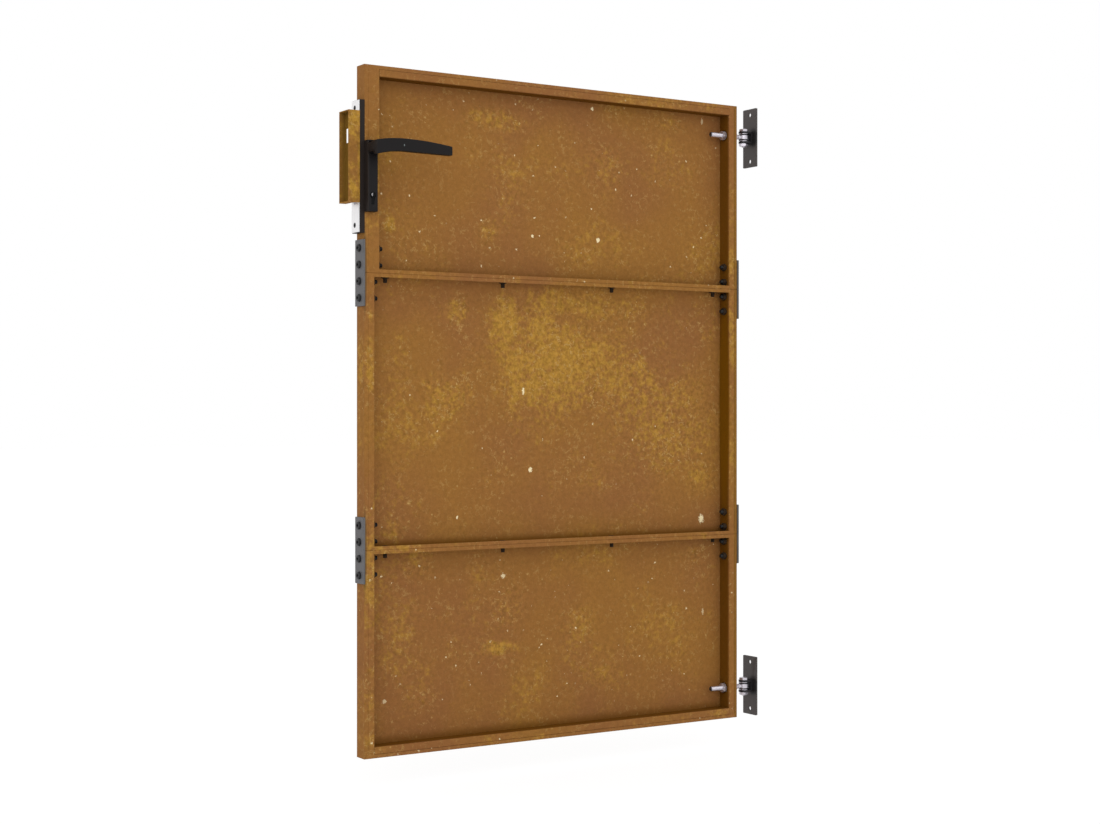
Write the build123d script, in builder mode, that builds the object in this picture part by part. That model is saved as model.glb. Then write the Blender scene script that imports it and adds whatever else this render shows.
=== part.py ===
from build123d import *
import os

os.makedirs("parts", exist_ok=True)

# Garden gate of weathering steel, in millimetres. The origin is on the wall, in the middle of the
# lower hinge's wall plate. +X runs away from the gate into the wall, so the leaf lies at negative X.
# +Y runs to the side that the gate opens to, and +Z is up.

# Leaf: three folded sheet trays, stacked
LEAF_WIDTH = 850.0
LEAF_DEPTH = 34.0
BOTTOM_SECTION_HEIGHT = 375.0
MIDDLE_SECTION_HEIGHT = 500.0
TOP_SECTION_HEIGHT = 375.0
SHEET = 2.0
RETURN_LIP = 7.0
PANEL_BEND = 4.0
FRONT_BEND = 1.5

# Box stiffeners behind the lips
STILE_WIDTH = 20.0
LOCK_STILE_WIDTH = 30.0
RAIL_WIDTH = 20.0
TUBE_WALL = 1.5
TUBE_BEND = 1.4

# Where the leaf hangs
HINGE_INSET = 60.0
WALL_GAP = 50.0
PIN_TO_WALL = 20.0

# Button-head bolts, nuts and washers of the leaf
BOLT_R = 4.0
BOLT_HOLE_CLEARANCE = 0.4
BOLT_HEAD_R = 7.0
BOLT_HEAD_HEIGHT = 4.4
BOLT_HEAD_ROUND = 2.6
SOCKET_FLATS = 5.0
SOCKET_DEPTH = 2.6
NUT_FLATS = 13.0
NUT_HEIGHT = 6.5
WASHER_R = 8.0
WASHER_THICKNESS = 1.6
THREAD_CLEARANCE = 0.05

# Bolts through the flanges where two sections meet
FLANGE_BOLT_COUNT = 4
FLANGE_BOLT_INSET = 50.0
FLANGE_BOLT_LENGTH = 18.0
FLANGE_NUT_HEIGHT = 4.0

# Joiner plates on the side faces
JOINER_HEIGHT = 120.0
JOINER_WIDTH = 34.0
JOINER_FRONT_STEP = 2.0
JOINER_THICKNESS = 3.0
JOINER_CORNER = 1.5
JOINER_BOLT_COUNT = 4
JOINER_BOLT_PITCH = 30.0
JOINER_BOLT_TAIL = 12.0

# Hinges
WALL_PLATE_HEIGHT = 120.0
WALL_PLATE_WIDTH = 42.0
WALL_PLATE_THICKNESS = 4.0
WALL_PLATE_CORNER = 1.5
WALL_HOLE_SPACING = 96.0
WALL_HOLE_R = 4.5
EAR_R = 10.0
EAR_THICKNESS = 4.0
EYE_R = 10.0
EYE_HEIGHT = 8.6
EYE_FLAT_MARGIN = 0.4
EYE_SIDE_CLEARANCE = 0.1
EYE_RUNNING_CLEARANCE = 0.08
PIN_R = 5.0
PIN_HOLE_CLEARANCE = 0.1
PIN_HEAD_FLATS = 16.0
PIN_HEAD_HEIGHT = 5.2
PIN_NUT_HEIGHT = 6.0
PIN_TAIL = 1.5
BUSH_R = 9.6
BUSH_THICKNESS = 2.2
HINGE_WASHER_R = 9.2
HINGE_WASHER_THICKNESS = 1.6
STUD_R = 5.0
STUD_TAIL = 36.0
STUD_HOLE_CLEARANCE = 0.5
STUD_NUT_FLATS = 17.0
STUD_NUT_HEIGHT = 8.0

# Lock body in the lock stile
BACKSET = 9.0
LOCK_ABOVE_JOINER = 11.5
CYLINDER_DROP = 88.0
SPACER_END = 14.0
SPACER_WIDTH = 30.0
SPACER_THICKNESS = 9.5
SPINDLE_RISE = 35.0
FACEPLATE_WIDTH = 28.0
FACEPLATE_THICKNESS = 2.0
FACEPLATE_END_MARGIN = 1.0
FACEPLATE_SCREW_TO_CASE = 10.5
FACEPLATE_SCREW_R = 2.5
FACEPLATE_SCREW_HEAD_R = 4.6
FACEPLATE_SCREW_FLATS = 3.0
FACEPLATE_SCREW_LENGTH = 22.0
FLAT_HEAD_HEIGHT = 1.2
FLAT_SOCKET_DEPTH = 0.9
CASE_HEIGHT = 190.0
CASE_THICKNESS = 16.0
CASE_BACK_ROOM = 1.0
CASE_WALL = 1.5
CASE_CLEARANCE = 0.3

# Follower, spindle and levers
SPINDLE_SIDE = 8.0
SPINDLE_CLEARANCE = 0.05
SPINDLE_ENGAGEMENT = 22.0
SPINDLE_END_ROOM = 0.5
SPINDLE_HOLE_R = 6.5
HUB_R = 8.0
HUB_JOURNAL_R = 6.6
HUB_SIDE_CLEARANCE = 0.2
RUNNING_CLEARANCE = 0.08
ARM_REACH = 13.0
ARM_NOSE_R = 3.0
ARM_THICKNESS = 5.0
HANDLE_PLATE_WIDTH = 20.0
HANDLE_PLATE_HEIGHT = 128.0
HANDLE_PLATE_RISE = 11.0
HANDLE_PLATE_THICKNESS = 15.0
HANDLE_PLATE_ROUND = 1.0
LEVER_STANDOUT = 52.0
LEVER_LENGTH = 143.0
LEVER_THICKNESS = 12.0
LEVER_CREST_AT = 45.0
LEVER_CREST = 12.6
LEVER_WAIST = 10.0
LEVER_TIP_TOP = 5.2
LEVER_TIP_FOOT = 10.8
LEVER_ROUND = 1.0
SHANK_HALF_WIDTH = 10.0
SHANK_TOP = 7.0
SHANK_FOOT = 19.0
SHANK_DROP = 13.5
SHANK_CORNER = 5.0
NECK_R = 8.0
NECK_DEPTH = 10.0
LEVER_SIDE_CLEARANCE = 0.3
GRUB_R = 2.5
GRUB_LENGTH = 5.0
HANDLE_SCREW_R = 2.5
HANDLE_SCREW_CLEARANCE = 0.3
HANDLE_SCREW_HEAD_R = 4.2
HANDLE_SCREW_HEAD_HEIGHT = 3.0
HANDLE_SCREW_FLATS = 3.0
HANDLE_SCREW_BITE = 8.0
HANDLE_SCREW_END_ROOM = 1.0
UPPER_SCREW_DROP = 36.0
LOWER_SCREW_DROP = 111.0

# Latch and dead bolt
LATCH_RISE = 21.0
LATCH_HEIGHT = 22.0
LATCH_THICKNESS = 12.0
LATCH_BEVEL = 7.0
LATCH_TIP_FLAT = 2.0
LATCH_STANDOUT = 8.0
LATCH_HEAD_BACK = 12.5
BOLT_GUIDE_CLEARANCE = 0.3
TAIL_THICKNESS = 4.0
TAIL_TO_ARM = 2.0
LUG_LENGTH = 3.6
LUG_HEIGHT = 12.0
LUG_GAP = 1.3
LUG_RISE = 9.0
SPRING_R = 2.3
SPRING_WIRE_R = 0.4
SPRING_TURNS = 7
SPRING_RISE = 28.5
SPRING_Y = -2.5
SPRING_END_ROOM = 0.1
DEAD_BOLT_HEIGHT = 20.0
DEAD_BOLT_THICKNESS = 10.0
DEAD_BOLT_LENGTH = 33.0
DEAD_BOLT_RECESS = 0.3

# Profile cylinder
CYLINDER_R = 5.5
CYLINDER_TAIL_WIDTH = 6.0
CYLINDER_TAIL_DROP = 16.5
CYLINDER_RECESS = 1.0
CYLINDER_CLEARANCE = 0.3
PLUG_R = 4.0
PLUG_STANDOUT = 1.5
KEYWAY_WIDTH = 1.4
KEYWAY_HEIGHT = 5.6
KEYWAY_DEPTH = 12.0
CAM_WIDTH = 9.6
CAM_SIDE_CLEARANCE = 0.2
CAM_REACH = 9.5
CAM_LOBE_WIDTH = 4.0
CAM_CLEARANCE = 0.7
CYLINDER_SCREW_R = 1.5
CYLINDER_SCREW_HEAD_R = 2.9
CYLINDER_SCREW_FLATS = 2.0
CYLINDER_SCREW_DROP = 13.4

# Keeper on the post side
KEEPER_HEIGHT = 165.0
KEEPER_DROP = 18.5
KEEPER_SHEET = 2.0
KEEPER_FREE_EDGE = 33.0
KEEPER_LATCH_GAP = 0.5
KEEPER_FRONT_LAP = 1.4
KEEPER_EDGE_ROUND = 1.2
LATCH_WINDOW_HEIGHT = 26.0
LATCH_WINDOW_FRONT_INSET = 6.0
LATCH_WINDOW_BACK_INSET = 2.0
DEAD_BOLT_WINDOW_CLEARANCE = 1.5
KEEPER_SCREW_R = 2.75
KEEPER_SCREW_INSET = 14.0

# Heights, edges and faces that the pieces share
TO_WALL = (1, 0, 0)
TO_POST = (-1, 0, 0)
TO_FRONT = (0, -1, 0)
TO_BACK = (0, 1, 0)
UP = (0, 0, 1)
DOWN = (0, 0, -1)
ON_SEAT = (Align.CENTER, Align.CENTER, Align.MIN)
BELOW_SEAT = (Align.CENTER, Align.CENTER, Align.MAX)
FROM_CORNER = (Align.MIN, Align.MIN, Align.MIN)

hinge_edge = -WALL_GAP
lock_edge = hinge_edge - LEAF_WIDTH
leaf_mid_x = (hinge_edge + lock_edge) / 2
front = -LEAF_DEPTH / 2
back = LEAF_DEPTH / 2
panel_inside = back - SHEET
joiner_y = front - JOINER_FRONT_STEP + JOINER_WIDTH / 2
foot = -HINGE_INSET
lower_joint = foot + BOTTOM_SECTION_HEIGHT
upper_joint = lower_joint + MIDDLE_SECTION_HEIGHT
head = upper_joint + TOP_SECTION_HEIGHT
joints = {"lower": lower_joint, "upper": upper_joint}
hinges = {"lower": 0.0, "upper": head - HINGE_INSET}
lock_stile_inside = lock_edge + LOCK_STILE_WIDTH
lock_side_inside = lock_edge + STILE_WIDTH
hinge_side_inside = hinge_edge - STILE_WIDTH
bolt_hole_r = BOLT_R + BOLT_HOLE_CLEARANCE
nut_bore_r = BOLT_R + THREAD_CLEARANCE

spindle_x = lock_edge + BACKSET
faceplate_screw_spacing = CASE_HEIGHT + 2 * FACEPLATE_SCREW_TO_CASE
spacer_height = faceplate_screw_spacing + 2 * SPACER_END
spacer_z = upper_joint + JOINER_HEIGHT / 2 + LOCK_ABOVE_JOINER + spacer_height / 2
spindle_z = spacer_z + SPINDLE_RISE
cylinder_z = spindle_z - CYLINDER_DROP
latch_z = spindle_z + LATCH_RISE
spacer_outside = lock_edge - SPACER_THICKNESS
lock_face = spacer_outside - FACEPLATE_THICKNESS
case_back = lock_stile_inside - TUBE_WALL - CASE_BACK_ROOM
case_inside = CASE_THICKNESS / 2 - CASE_WALL
dead_bolt_z = cylinder_z + CAM_REACH + CAM_CLEARANCE + DEAD_BOLT_HEIGHT / 2
plate_face = LEAF_DEPTH / 2 + HANDLE_PLATE_THICKNESS
lever_face = LEAF_DEPTH / 2 + LEVER_STANDOUT
cylinder_half = plate_face - CYLINDER_RECESS
plug_half = plate_face + PLUG_STANDOUT
screw_heights = [spindle_z - UPPER_SCREW_DROP, spindle_z - LOWER_SCREW_DROP]
latch_tip = lock_face - LATCH_STANDOUT
keeper_web_face = latch_tip - KEEPER_LATCH_GAP
keeper_free_edge = lock_edge - KEEPER_FREE_EDGE
keeper_z = spindle_z - KEEPER_DROP


def finish(builder, name):
    """Labels a finished piece and writes it to its own file."""
    builder.part.label = name
    export_step(builder.part, f"parts/{name}.step")


def seat(x, y, z, outward):
    """A plane at a point, with its normal pointing outward."""
    upright = TO_WALL if outward in (UP, DOWN) else UP
    return Plane(origin=(x, y, z), x_dir=upright, z_dir=outward)


def drill(seats, radius, depth):
    """Cuts round holes centred on the seats into the piece being built."""
    with Locations(*seats):
        Cylinder(radius, depth, mode=Mode.SUBTRACT)


def socket_bolts(name, seats, length):
    """Button-head bolts: heads stand on the seats, and shanks run back through the work."""
    outward = Axis(seats[0].origin, seats[0].z_dir)
    with BuildPart() as bolts:
        with Locations(*seats):
            Cylinder(BOLT_HEAD_R, BOLT_HEAD_HEIGHT, align=ON_SEAT)
        fillet(bolts.faces().group_by(outward)[-1].edges(), BOLT_HEAD_ROUND)
        with BuildSketch(*[place.offset(BOLT_HEAD_HEIGHT) for place in seats]):
            RegularPolygon(SOCKET_FLATS / 2, 6, major_radius=False)
        extrude(amount=-SOCKET_DEPTH, mode=Mode.SUBTRACT)
        with Locations(*seats):
            Cylinder(BOLT_R, length, align=BELOW_SEAT)
    finish(bolts, name)


def hex_nuts(name, seats, flats, height, bore_r):
    """Hexagon nuts that stand on the seats."""
    with BuildPart() as nuts:
        with BuildSketch(*seats):
            RegularPolygon(flats / 2, 6, major_radius=False)
            Circle(bore_r, mode=Mode.SUBTRACT)
        extrude(amount=height)
    finish(nuts, name)


def rings(name, seats, outer_r, bore_r, thickness):
    """Flat washers or bushes that lie on the seats."""
    with BuildPart() as washers:
        with BuildSketch(*seats):
            Circle(outer_r)
            Circle(bore_r, mode=Mode.SUBTRACT)
        extrude(amount=thickness)
    finish(washers, name)


# Places of the fasteners
flange_pitch = (LEAF_WIDTH - 2 * FLANGE_BOLT_INSET) / (FLANGE_BOLT_COUNT - 1)
flange_xs = [lock_edge + FLANGE_BOLT_INSET + i * flange_pitch for i in range(FLANGE_BOLT_COUNT)]
bolt_steps = [(i - (JOINER_BOLT_COUNT - 1) / 2) * JOINER_BOLT_PITCH for i in range(JOINER_BOLT_COUNT)]
joiner_zs = [joint + step for joint in joints.values() for step in bolt_steps]
lock_stile_zs = [z for z in joiner_zs if z > upper_joint]
narrow_stile_zs = [z for z in joiner_zs if z < upper_joint]
faceplate_screw_zs = [spacer_z + side * faceplate_screw_spacing / 2 for side in (-1, 1)]


def cylinder_profile(grow):
    """Keyhole section of the cylinder, around the origin of the sketch being made."""
    Circle(CYLINDER_R + grow)
    Rectangle(
        CYLINDER_TAIL_WIDTH + 2 * grow,
        CYLINDER_TAIL_DROP + grow,
        align=(Align.CENTER, Align.MAX),
    )


def drill_joiner_bolts():
    """Holes for the joiner bolts in both side faces."""
    lock_seats = [seat(lock_edge, joiner_y, z, TO_POST) for z in joiner_zs]
    hinge_seats = [seat(hinge_edge, joiner_y, z, TO_WALL) for z in joiner_zs]
    drill(lock_seats, bolt_hole_r, 2 * LOCK_STILE_WIDTH + SHEET)
    drill(hinge_seats, bolt_hole_r, 2 * STILE_WIDTH + SHEET)


def drill_flange_bolts():
    """Holes for the bolts that clamp one section to the next."""
    drill([seat(x, 0, z, UP) for x in flange_xs for z in joints.values()], bolt_hole_r, 3 * SHEET)


def drill_hinge_studs():
    """Holes for the eye bolts in the hinge stile."""
    studs = [seat(hinge_edge, 0, z, TO_WALL) for z in hinges.values()]
    drill(studs, STUD_R + STUD_HOLE_CLEARANCE, 2 * STILE_WIDTH + SHEET)


def cut_for_lock():
    """Openings for the lock case, spindle, cylinder and screws in the lock stile and its panel."""
    with BuildSketch(Plane.XZ.offset(-back)) as through:
        with Locations((spindle_x, spindle_z)):
            Circle(SPINDLE_HOLE_R)
        with Locations(*[(spindle_x, z) for z in screw_heights]):
            Circle(HANDLE_SCREW_R + HANDLE_SCREW_CLEARANCE)
        with Locations((spindle_x, cylinder_z)):
            cylinder_profile(CYLINDER_CLEARANCE)
    extrude(through.sketch, amount=LEAF_DEPTH, mode=Mode.SUBTRACT)
    with Locations(((lock_edge + case_back) / 2, 0, spacer_z)):
        Box(
            case_back - lock_edge + 2 * CASE_CLEARANCE,
            CASE_THICKNESS + 2 * CASE_CLEARANCE,
            CASE_HEIGHT + 2 * CASE_CLEARANCE,
            mode=Mode.SUBTRACT,
        )
    screws = [seat(lock_edge, 0, z, TO_POST) for z in faceplate_screw_zs]
    drill(screws, FACEPLATE_SCREW_R + THREAD_CLEARANCE, 2 * FACEPLATE_SCREW_LENGTH)


# Trays: panel, flanges and return lips folded from one sheet
def section_tray(name, z_low, height, has_lock):
    """One folded section of the leaf, open to the front."""
    middle = (leaf_mid_x, z_low + height / 2)
    with BuildPart() as tray:
        with BuildSketch(Plane.XZ.offset(-back)):
            with Locations(middle):
                Rectangle(LEAF_WIDTH, height)
        extrude(amount=LEAF_DEPTH)
        fillet(tray.faces().sort_by(Axis.Y)[-1].edges(), PANEL_BEND)
        fillet(tray.faces().sort_by(Axis.Y)[0].edges(), FRONT_BEND)
        with BuildSketch(Plane.XZ.offset(-panel_inside)):
            with Locations(middle):
                Rectangle(LEAF_WIDTH - 2 * SHEET, height - 2 * SHEET)
        extrude(amount=LEAF_DEPTH - 2 * SHEET, mode=Mode.SUBTRACT)
        inner_folds = tray.edges().filter_by_position(Axis.Y, panel_inside, panel_inside)
        fillet(inner_folds, PANEL_BEND - SHEET)
        with BuildSketch(Plane.XZ.offset(-front - SHEET)):
            with Locations(middle):
                Rectangle(LEAF_WIDTH - 2 * RETURN_LIP, height - 2 * RETURN_LIP)
        extrude(amount=SHEET, mode=Mode.SUBTRACT)
        drill_joiner_bolts()
        drill_flange_bolts()
        drill_hinge_studs()
        if has_lock:
            cut_for_lock()
    finish(tray, name)


section_tray("bottom_section_tray", foot, BOTTOM_SECTION_HEIGHT, False)
section_tray("middle_section_tray", lower_joint, MIDDLE_SECTION_HEIGHT, False)
section_tray("top_section_tray", upper_joint, TOP_SECTION_HEIGHT, True)

# Box stiffeners, from the front face back to the panel
tube_depth = panel_inside - front
tube_mid_y = (panel_inside + front) / 2


def tube_section(width, depth):
    """Hollow section of a stiffener, around the origin of the sketch being made."""
    RectangleRounded(width, depth, TUBE_BEND)
    Rectangle(width - 2 * TUBE_WALL, depth - 2 * TUBE_WALL, mode=Mode.SUBTRACT)


def stile_tube(name, x_low, x_high, z_low, height, has_lock):
    """An upright stiffener between the lips of one section."""
    with BuildPart() as tube:
        with BuildSketch(Plane.XY.offset(z_low + RETURN_LIP)):
            with Locations(((x_low + x_high) / 2, tube_mid_y)):
                tube_section(x_high - x_low, tube_depth)
        extrude(amount=height - 2 * RETURN_LIP)
        drill_joiner_bolts()
        drill_hinge_studs()
        if has_lock:
            cut_for_lock()
    finish(tube, name)


def rail_tube(name, z_low):
    """A level stiffener between the two stiles, along the head or the foot."""
    x_low = lock_stile_inside if z_low > upper_joint else lock_side_inside
    with BuildPart() as tube:
        with BuildSketch(Plane.YZ.offset(x_low)):
            with Locations((tube_mid_y, z_low + (RAIL_WIDTH - RETURN_LIP) / 2)):
                tube_section(tube_depth, RAIL_WIDTH - RETURN_LIP)
        extrude(amount=hinge_side_inside - x_low)
    finish(tube, name)


lock_lip = lock_edge + RETURN_LIP
hinge_lip = hinge_edge - RETURN_LIP
stile_tube("lock_stile_tube", lock_lip, lock_stile_inside, upper_joint, TOP_SECTION_HEIGHT, True)
stile_tube("top_hinge_stile_tube", hinge_side_inside, hinge_lip, upper_joint, TOP_SECTION_HEIGHT, False)
for part_name, base, height in (
    ("middle", lower_joint, MIDDLE_SECTION_HEIGHT),
    ("bottom", foot, BOTTOM_SECTION_HEIGHT),
):
    stile_tube(f"{part_name}_lock_stile_tube", lock_lip, lock_side_inside, base, height, False)
    stile_tube(f"{part_name}_hinge_stile_tube", hinge_side_inside, hinge_lip, base, height, False)
rail_tube("top_rail_tube", head - RAIL_WIDTH)
rail_tube("bottom_rail_tube", foot + RETURN_LIP)

# Bolts, washers and nuts through the flanges of two sections
flange_feet = [joint - SHEET for joint in joints.values()]
washer_seats = [seat(x, 0, z, DOWN) for x in flange_xs for z in flange_feet]
rings("flange_washers", washer_seats, WASHER_R, bolt_hole_r, WASHER_THICKNESS)
for joint_name, joint in joints.items():
    head_seats = [seat(x, 0, joint + SHEET, UP) for x in flange_xs]
    socket_bolts(f"{joint_name}_flange_bolts", head_seats, FLANGE_BOLT_LENGTH)
nut_seats = [seat(x, 0, z - WASHER_THICKNESS, DOWN) for x in flange_xs for z in flange_feet]
hex_nuts("flange_nuts", nut_seats, NUT_FLATS, FLANGE_NUT_HEIGHT, nut_bore_r)

# Joiner plates, a step forward of the front face, and their bolts and nuts
for joint_name, joint in joints.items():
    for side_name, edge, outward in (("lock", lock_edge, TO_POST), ("hinge", hinge_edge, TO_WALL)):
        with BuildPart() as joiner:
            with BuildSketch(seat(edge, joiner_y, joint, outward)):
                RectangleRounded(JOINER_HEIGHT, JOINER_WIDTH, JOINER_CORNER)
            extrude(amount=JOINER_THICKNESS)
            drill_joiner_bolts()
        finish(joiner, f"{joint_name}_{side_name}_joiner_plate")

lock_joiner_face = lock_edge - JOINER_THICKNESS
hinge_joiner_face = hinge_edge + JOINER_THICKNESS
short_bolt = JOINER_THICKNESS + STILE_WIDTH + JOINER_BOLT_TAIL
long_bolt = JOINER_THICKNESS + LOCK_STILE_WIDTH + JOINER_BOLT_TAIL
narrow_seats = [seat(lock_joiner_face, joiner_y, z, TO_POST) for z in narrow_stile_zs]
wide_seats = [seat(lock_joiner_face, joiner_y, z, TO_POST) for z in lock_stile_zs]
hinge_side_seats = [seat(hinge_joiner_face, joiner_y, z, TO_WALL) for z in joiner_zs]
socket_bolts("lock_joiner_bolts", narrow_seats, short_bolt)
socket_bolts("long_joiner_bolts", wide_seats, long_bolt)
socket_bolts("hinge_joiner_bolts", hinge_side_seats, short_bolt)
inner_seats = [seat(lock_side_inside, joiner_y, z, TO_WALL) for z in narrow_stile_zs]
inner_seats += [seat(lock_stile_inside, joiner_y, z, TO_WALL) for z in lock_stile_zs]
inner_seats += [seat(hinge_side_inside, joiner_y, z, TO_POST) for z in joiner_zs]
hex_nuts("joiner_nuts", inner_seats, NUT_FLATS, NUT_HEIGHT, nut_bore_r)

# Hinges: the eye turns on the pin between two washers and two bushes
eye_half = EYE_HEIGHT / 2
bush_foot = eye_half + EYE_SIDE_CLEARANCE
washer_foot = bush_foot + BUSH_THICKNESS
ear_inside = washer_foot + HINGE_WASHER_THICKNESS
ear_outside = ear_inside + EAR_THICKNESS
pin_hole_r = PIN_R + PIN_HOLE_CLEARANCE
for hinge_name, hinge_z in hinges.items():
    with BuildPart() as wall_plate:
        with BuildSketch(seat(0, 0, hinge_z, TO_POST)):
            RectangleRounded(WALL_PLATE_HEIGHT, WALL_PLATE_WIDTH, WALL_PLATE_CORNER)
            with Locations((-WALL_HOLE_SPACING / 2, 0), (WALL_HOLE_SPACING / 2, 0)):
                Circle(WALL_HOLE_R, mode=Mode.SUBTRACT)
        extrude(amount=WALL_PLATE_THICKNESS)
    finish(wall_plate, f"{hinge_name}_wall_plate")

    with BuildPart() as bracket:
        with BuildSketch(Plane.XY.offset(hinge_z - ear_outside)):
            with Locations((-PIN_TO_WALL, 0)):
                Circle(EAR_R)
                Rectangle(PIN_TO_WALL - WALL_PLATE_THICKNESS, 2 * EAR_R, align=(Align.MIN, Align.CENTER))
                Circle(pin_hole_r, mode=Mode.SUBTRACT)
        extrude(amount=2 * ear_outside)
        with Locations((-WALL_PLATE_THICKNESS - EAR_THICKNESS, 0, hinge_z)):
            Box(
                PIN_TO_WALL + EAR_R,
                2 * EAR_R,
                2 * ear_inside,
                align=(Align.MAX, Align.CENTER, Align.CENTER),
                mode=Mode.SUBTRACT,
            )
    finish(bracket, f"{hinge_name}_hinge_bracket")

    with BuildPart() as pin:
        with BuildSketch(seat(-PIN_TO_WALL, 0, hinge_z + ear_outside, UP)):
            RegularPolygon(PIN_HEAD_FLATS / 2, 6, major_radius=False)
        extrude(amount=PIN_HEAD_HEIGHT)
        with Locations((-PIN_TO_WALL, 0, hinge_z + ear_outside)):
            Cylinder(PIN_R, 2 * ear_outside + PIN_NUT_HEIGHT + PIN_TAIL, align=BELOW_SEAT)
    finish(pin, f"{hinge_name}_hinge_pin")

    with BuildPart() as eye_bolt:
        with BuildSketch(Plane.XY.offset(hinge_z - eye_half)):
            with Locations((-PIN_TO_WALL, 0)):
                Circle(EYE_R)
        extrude(amount=EYE_HEIGHT)
        with BuildSketch(seat(-PIN_TO_WALL, 0, hinge_z, TO_POST)):
            Circle(STUD_R)
        extrude(amount=WALL_GAP - PIN_TO_WALL + STILE_WIDTH + STUD_TAIL)
        eye_top = seat(-PIN_TO_WALL, 0, hinge_z + eye_half, UP)
        eye_foot = seat(-PIN_TO_WALL, 0, hinge_z - eye_half, DOWN)
        with Locations(eye_top, eye_foot):
            Cylinder(EYE_R + EYE_FLAT_MARGIN, EYE_HEIGHT, align=ON_SEAT, mode=Mode.SUBTRACT)
        drill([seat(-PIN_TO_WALL, 0, hinge_z, UP)], PIN_R + EYE_RUNNING_CLEARANCE, 2 * EYE_HEIGHT)
    finish(eye_bolt, f"{hinge_name}_eye_bolt")

pin_spots = [(-PIN_TO_WALL, 0, z) for z in hinges.values()]
pin_nut_seats = [seat(x, y, z - ear_outside, DOWN) for x, y, z in pin_spots]
bush_seats = [seat(x, y, z + bush_foot, UP) for x, y, z in pin_spots]
bush_seats += [seat(x, y, z - bush_foot, DOWN) for x, y, z in pin_spots]
hinge_washer_seats = [seat(x, y, z + washer_foot, UP) for x, y, z in pin_spots]
hinge_washer_seats += [seat(x, y, z - washer_foot, DOWN) for x, y, z in pin_spots]
hex_nuts("hinge_pin_nuts", pin_nut_seats, PIN_HEAD_FLATS, PIN_NUT_HEIGHT, PIN_R + THREAD_CLEARANCE)
rings("hinge_bushes", bush_seats, BUSH_R, pin_hole_r, BUSH_THICKNESS)
rings("hinge_washers", hinge_washer_seats, HINGE_WASHER_R, pin_hole_r, HINGE_WASHER_THICKNESS)
stud_nut_seats = [seat(hinge_side_inside, 0, z, TO_POST) for z in hinges.values()]
stud_nut_seats += [seat(hinge_edge, 0, z, TO_WALL) for z in hinges.values()]
hex_nuts("eye_bolt_nuts", stud_nut_seats, STUD_NUT_FLATS, STUD_NUT_HEIGHT, STUD_R + THREAD_CLEARANCE)

# Lock spacer: a black frame round the case, on the leaf's edge
spacer_mid_y = front + SPACER_WIDTH / 2
with BuildPart() as spacer:
    with BuildSketch(seat(lock_edge, spacer_mid_y, spacer_z, TO_POST)):
        Rectangle(spacer_height, SPACER_WIDTH)
    extrude(amount=SPACER_THICKNESS)
    with BuildSketch(seat(lock_edge, 0, spacer_z, TO_POST)):
        Rectangle(CASE_HEIGHT + 2 * CASE_CLEARANCE, CASE_THICKNESS + 2 * CASE_CLEARANCE)
    extrude(amount=SPACER_THICKNESS, mode=Mode.SUBTRACT)
    screws = [seat(lock_edge, 0, z, TO_POST) for z in faceplate_screw_zs]
    drill(screws, FACEPLATE_SCREW_R + THREAD_CLEARANCE, 3 * SPACER_THICKNESS)
finish(spacer, "lock_spacer")

# Faceplate with its latch, dead bolt and screw openings
face_screw_seats = [seat(lock_face, 0, z, TO_POST) for z in faceplate_screw_zs]
cylinder_screw_seats = [seat(lock_face, 0, cylinder_z - CYLINDER_SCREW_DROP, TO_POST)]
cylinder_screw_length = spindle_x + CYLINDER_TAIL_WIDTH / 2 - lock_face
bolt_slack = 2 * BOLT_GUIDE_CLEARANCE


def sink_flat_heads(seats, head_r, shank_r):
    """Stepped holes for flat-headed screws whose heads lie flush with the seats."""
    drill(seats, head_r + THREAD_CLEARANCE, 2 * FLAT_HEAD_HEIGHT)
    drill(seats, shank_r + THREAD_CLEARANCE, 4 * FACEPLATE_THICKNESS)


def flat_screws(name, seats, head_r, shank_r, flats, length):
    """Flat-headed socket screws whose heads lie flush with the seats."""
    with BuildPart() as screws:
        with Locations(*seats):
            Cylinder(head_r, FLAT_HEAD_HEIGHT, align=BELOW_SEAT)
            Cylinder(shank_r, length, align=BELOW_SEAT)
        with BuildSketch(*seats):
            RegularPolygon(flats / 2, 6, major_radius=False)
        extrude(amount=-FLAT_SOCKET_DEPTH, mode=Mode.SUBTRACT)
    finish(screws, name)


with BuildPart() as faceplate:
    with BuildSketch(seat(spacer_outside, spacer_mid_y, spacer_z, TO_POST)):
        Rectangle(spacer_height - 2 * FACEPLATE_END_MARGIN, FACEPLATE_WIDTH)
    extrude(amount=FACEPLATE_THICKNESS)
    with BuildSketch(seat(spacer_outside, 0, latch_z, TO_POST)):
        Rectangle(LATCH_HEIGHT + bolt_slack, LATCH_THICKNESS + bolt_slack)
    extrude(amount=FACEPLATE_THICKNESS, mode=Mode.SUBTRACT)
    with BuildSketch(seat(spacer_outside, 0, dead_bolt_z, TO_POST)):
        Rectangle(DEAD_BOLT_HEIGHT + bolt_slack, DEAD_BOLT_THICKNESS + bolt_slack)
    extrude(amount=FACEPLATE_THICKNESS, mode=Mode.SUBTRACT)
    sink_flat_heads(face_screw_seats, FACEPLATE_SCREW_HEAD_R, FACEPLATE_SCREW_R)
    sink_flat_heads(cylinder_screw_seats, CYLINDER_SCREW_HEAD_R, CYLINDER_SCREW_R)
finish(faceplate, "lock_faceplate")

flat_screws(
    "faceplate_screws",
    face_screw_seats,
    FACEPLATE_SCREW_HEAD_R,
    FACEPLATE_SCREW_R,
    FACEPLATE_SCREW_FLATS,
    FACEPLATE_SCREW_LENGTH,
)
flat_screws(
    "cylinder_screw",
    cylinder_screw_seats,
    CYLINDER_SCREW_HEAD_R,
    CYLINDER_SCREW_R,
    CYLINDER_SCREW_FLATS,
    cylinder_screw_length,
)

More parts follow.
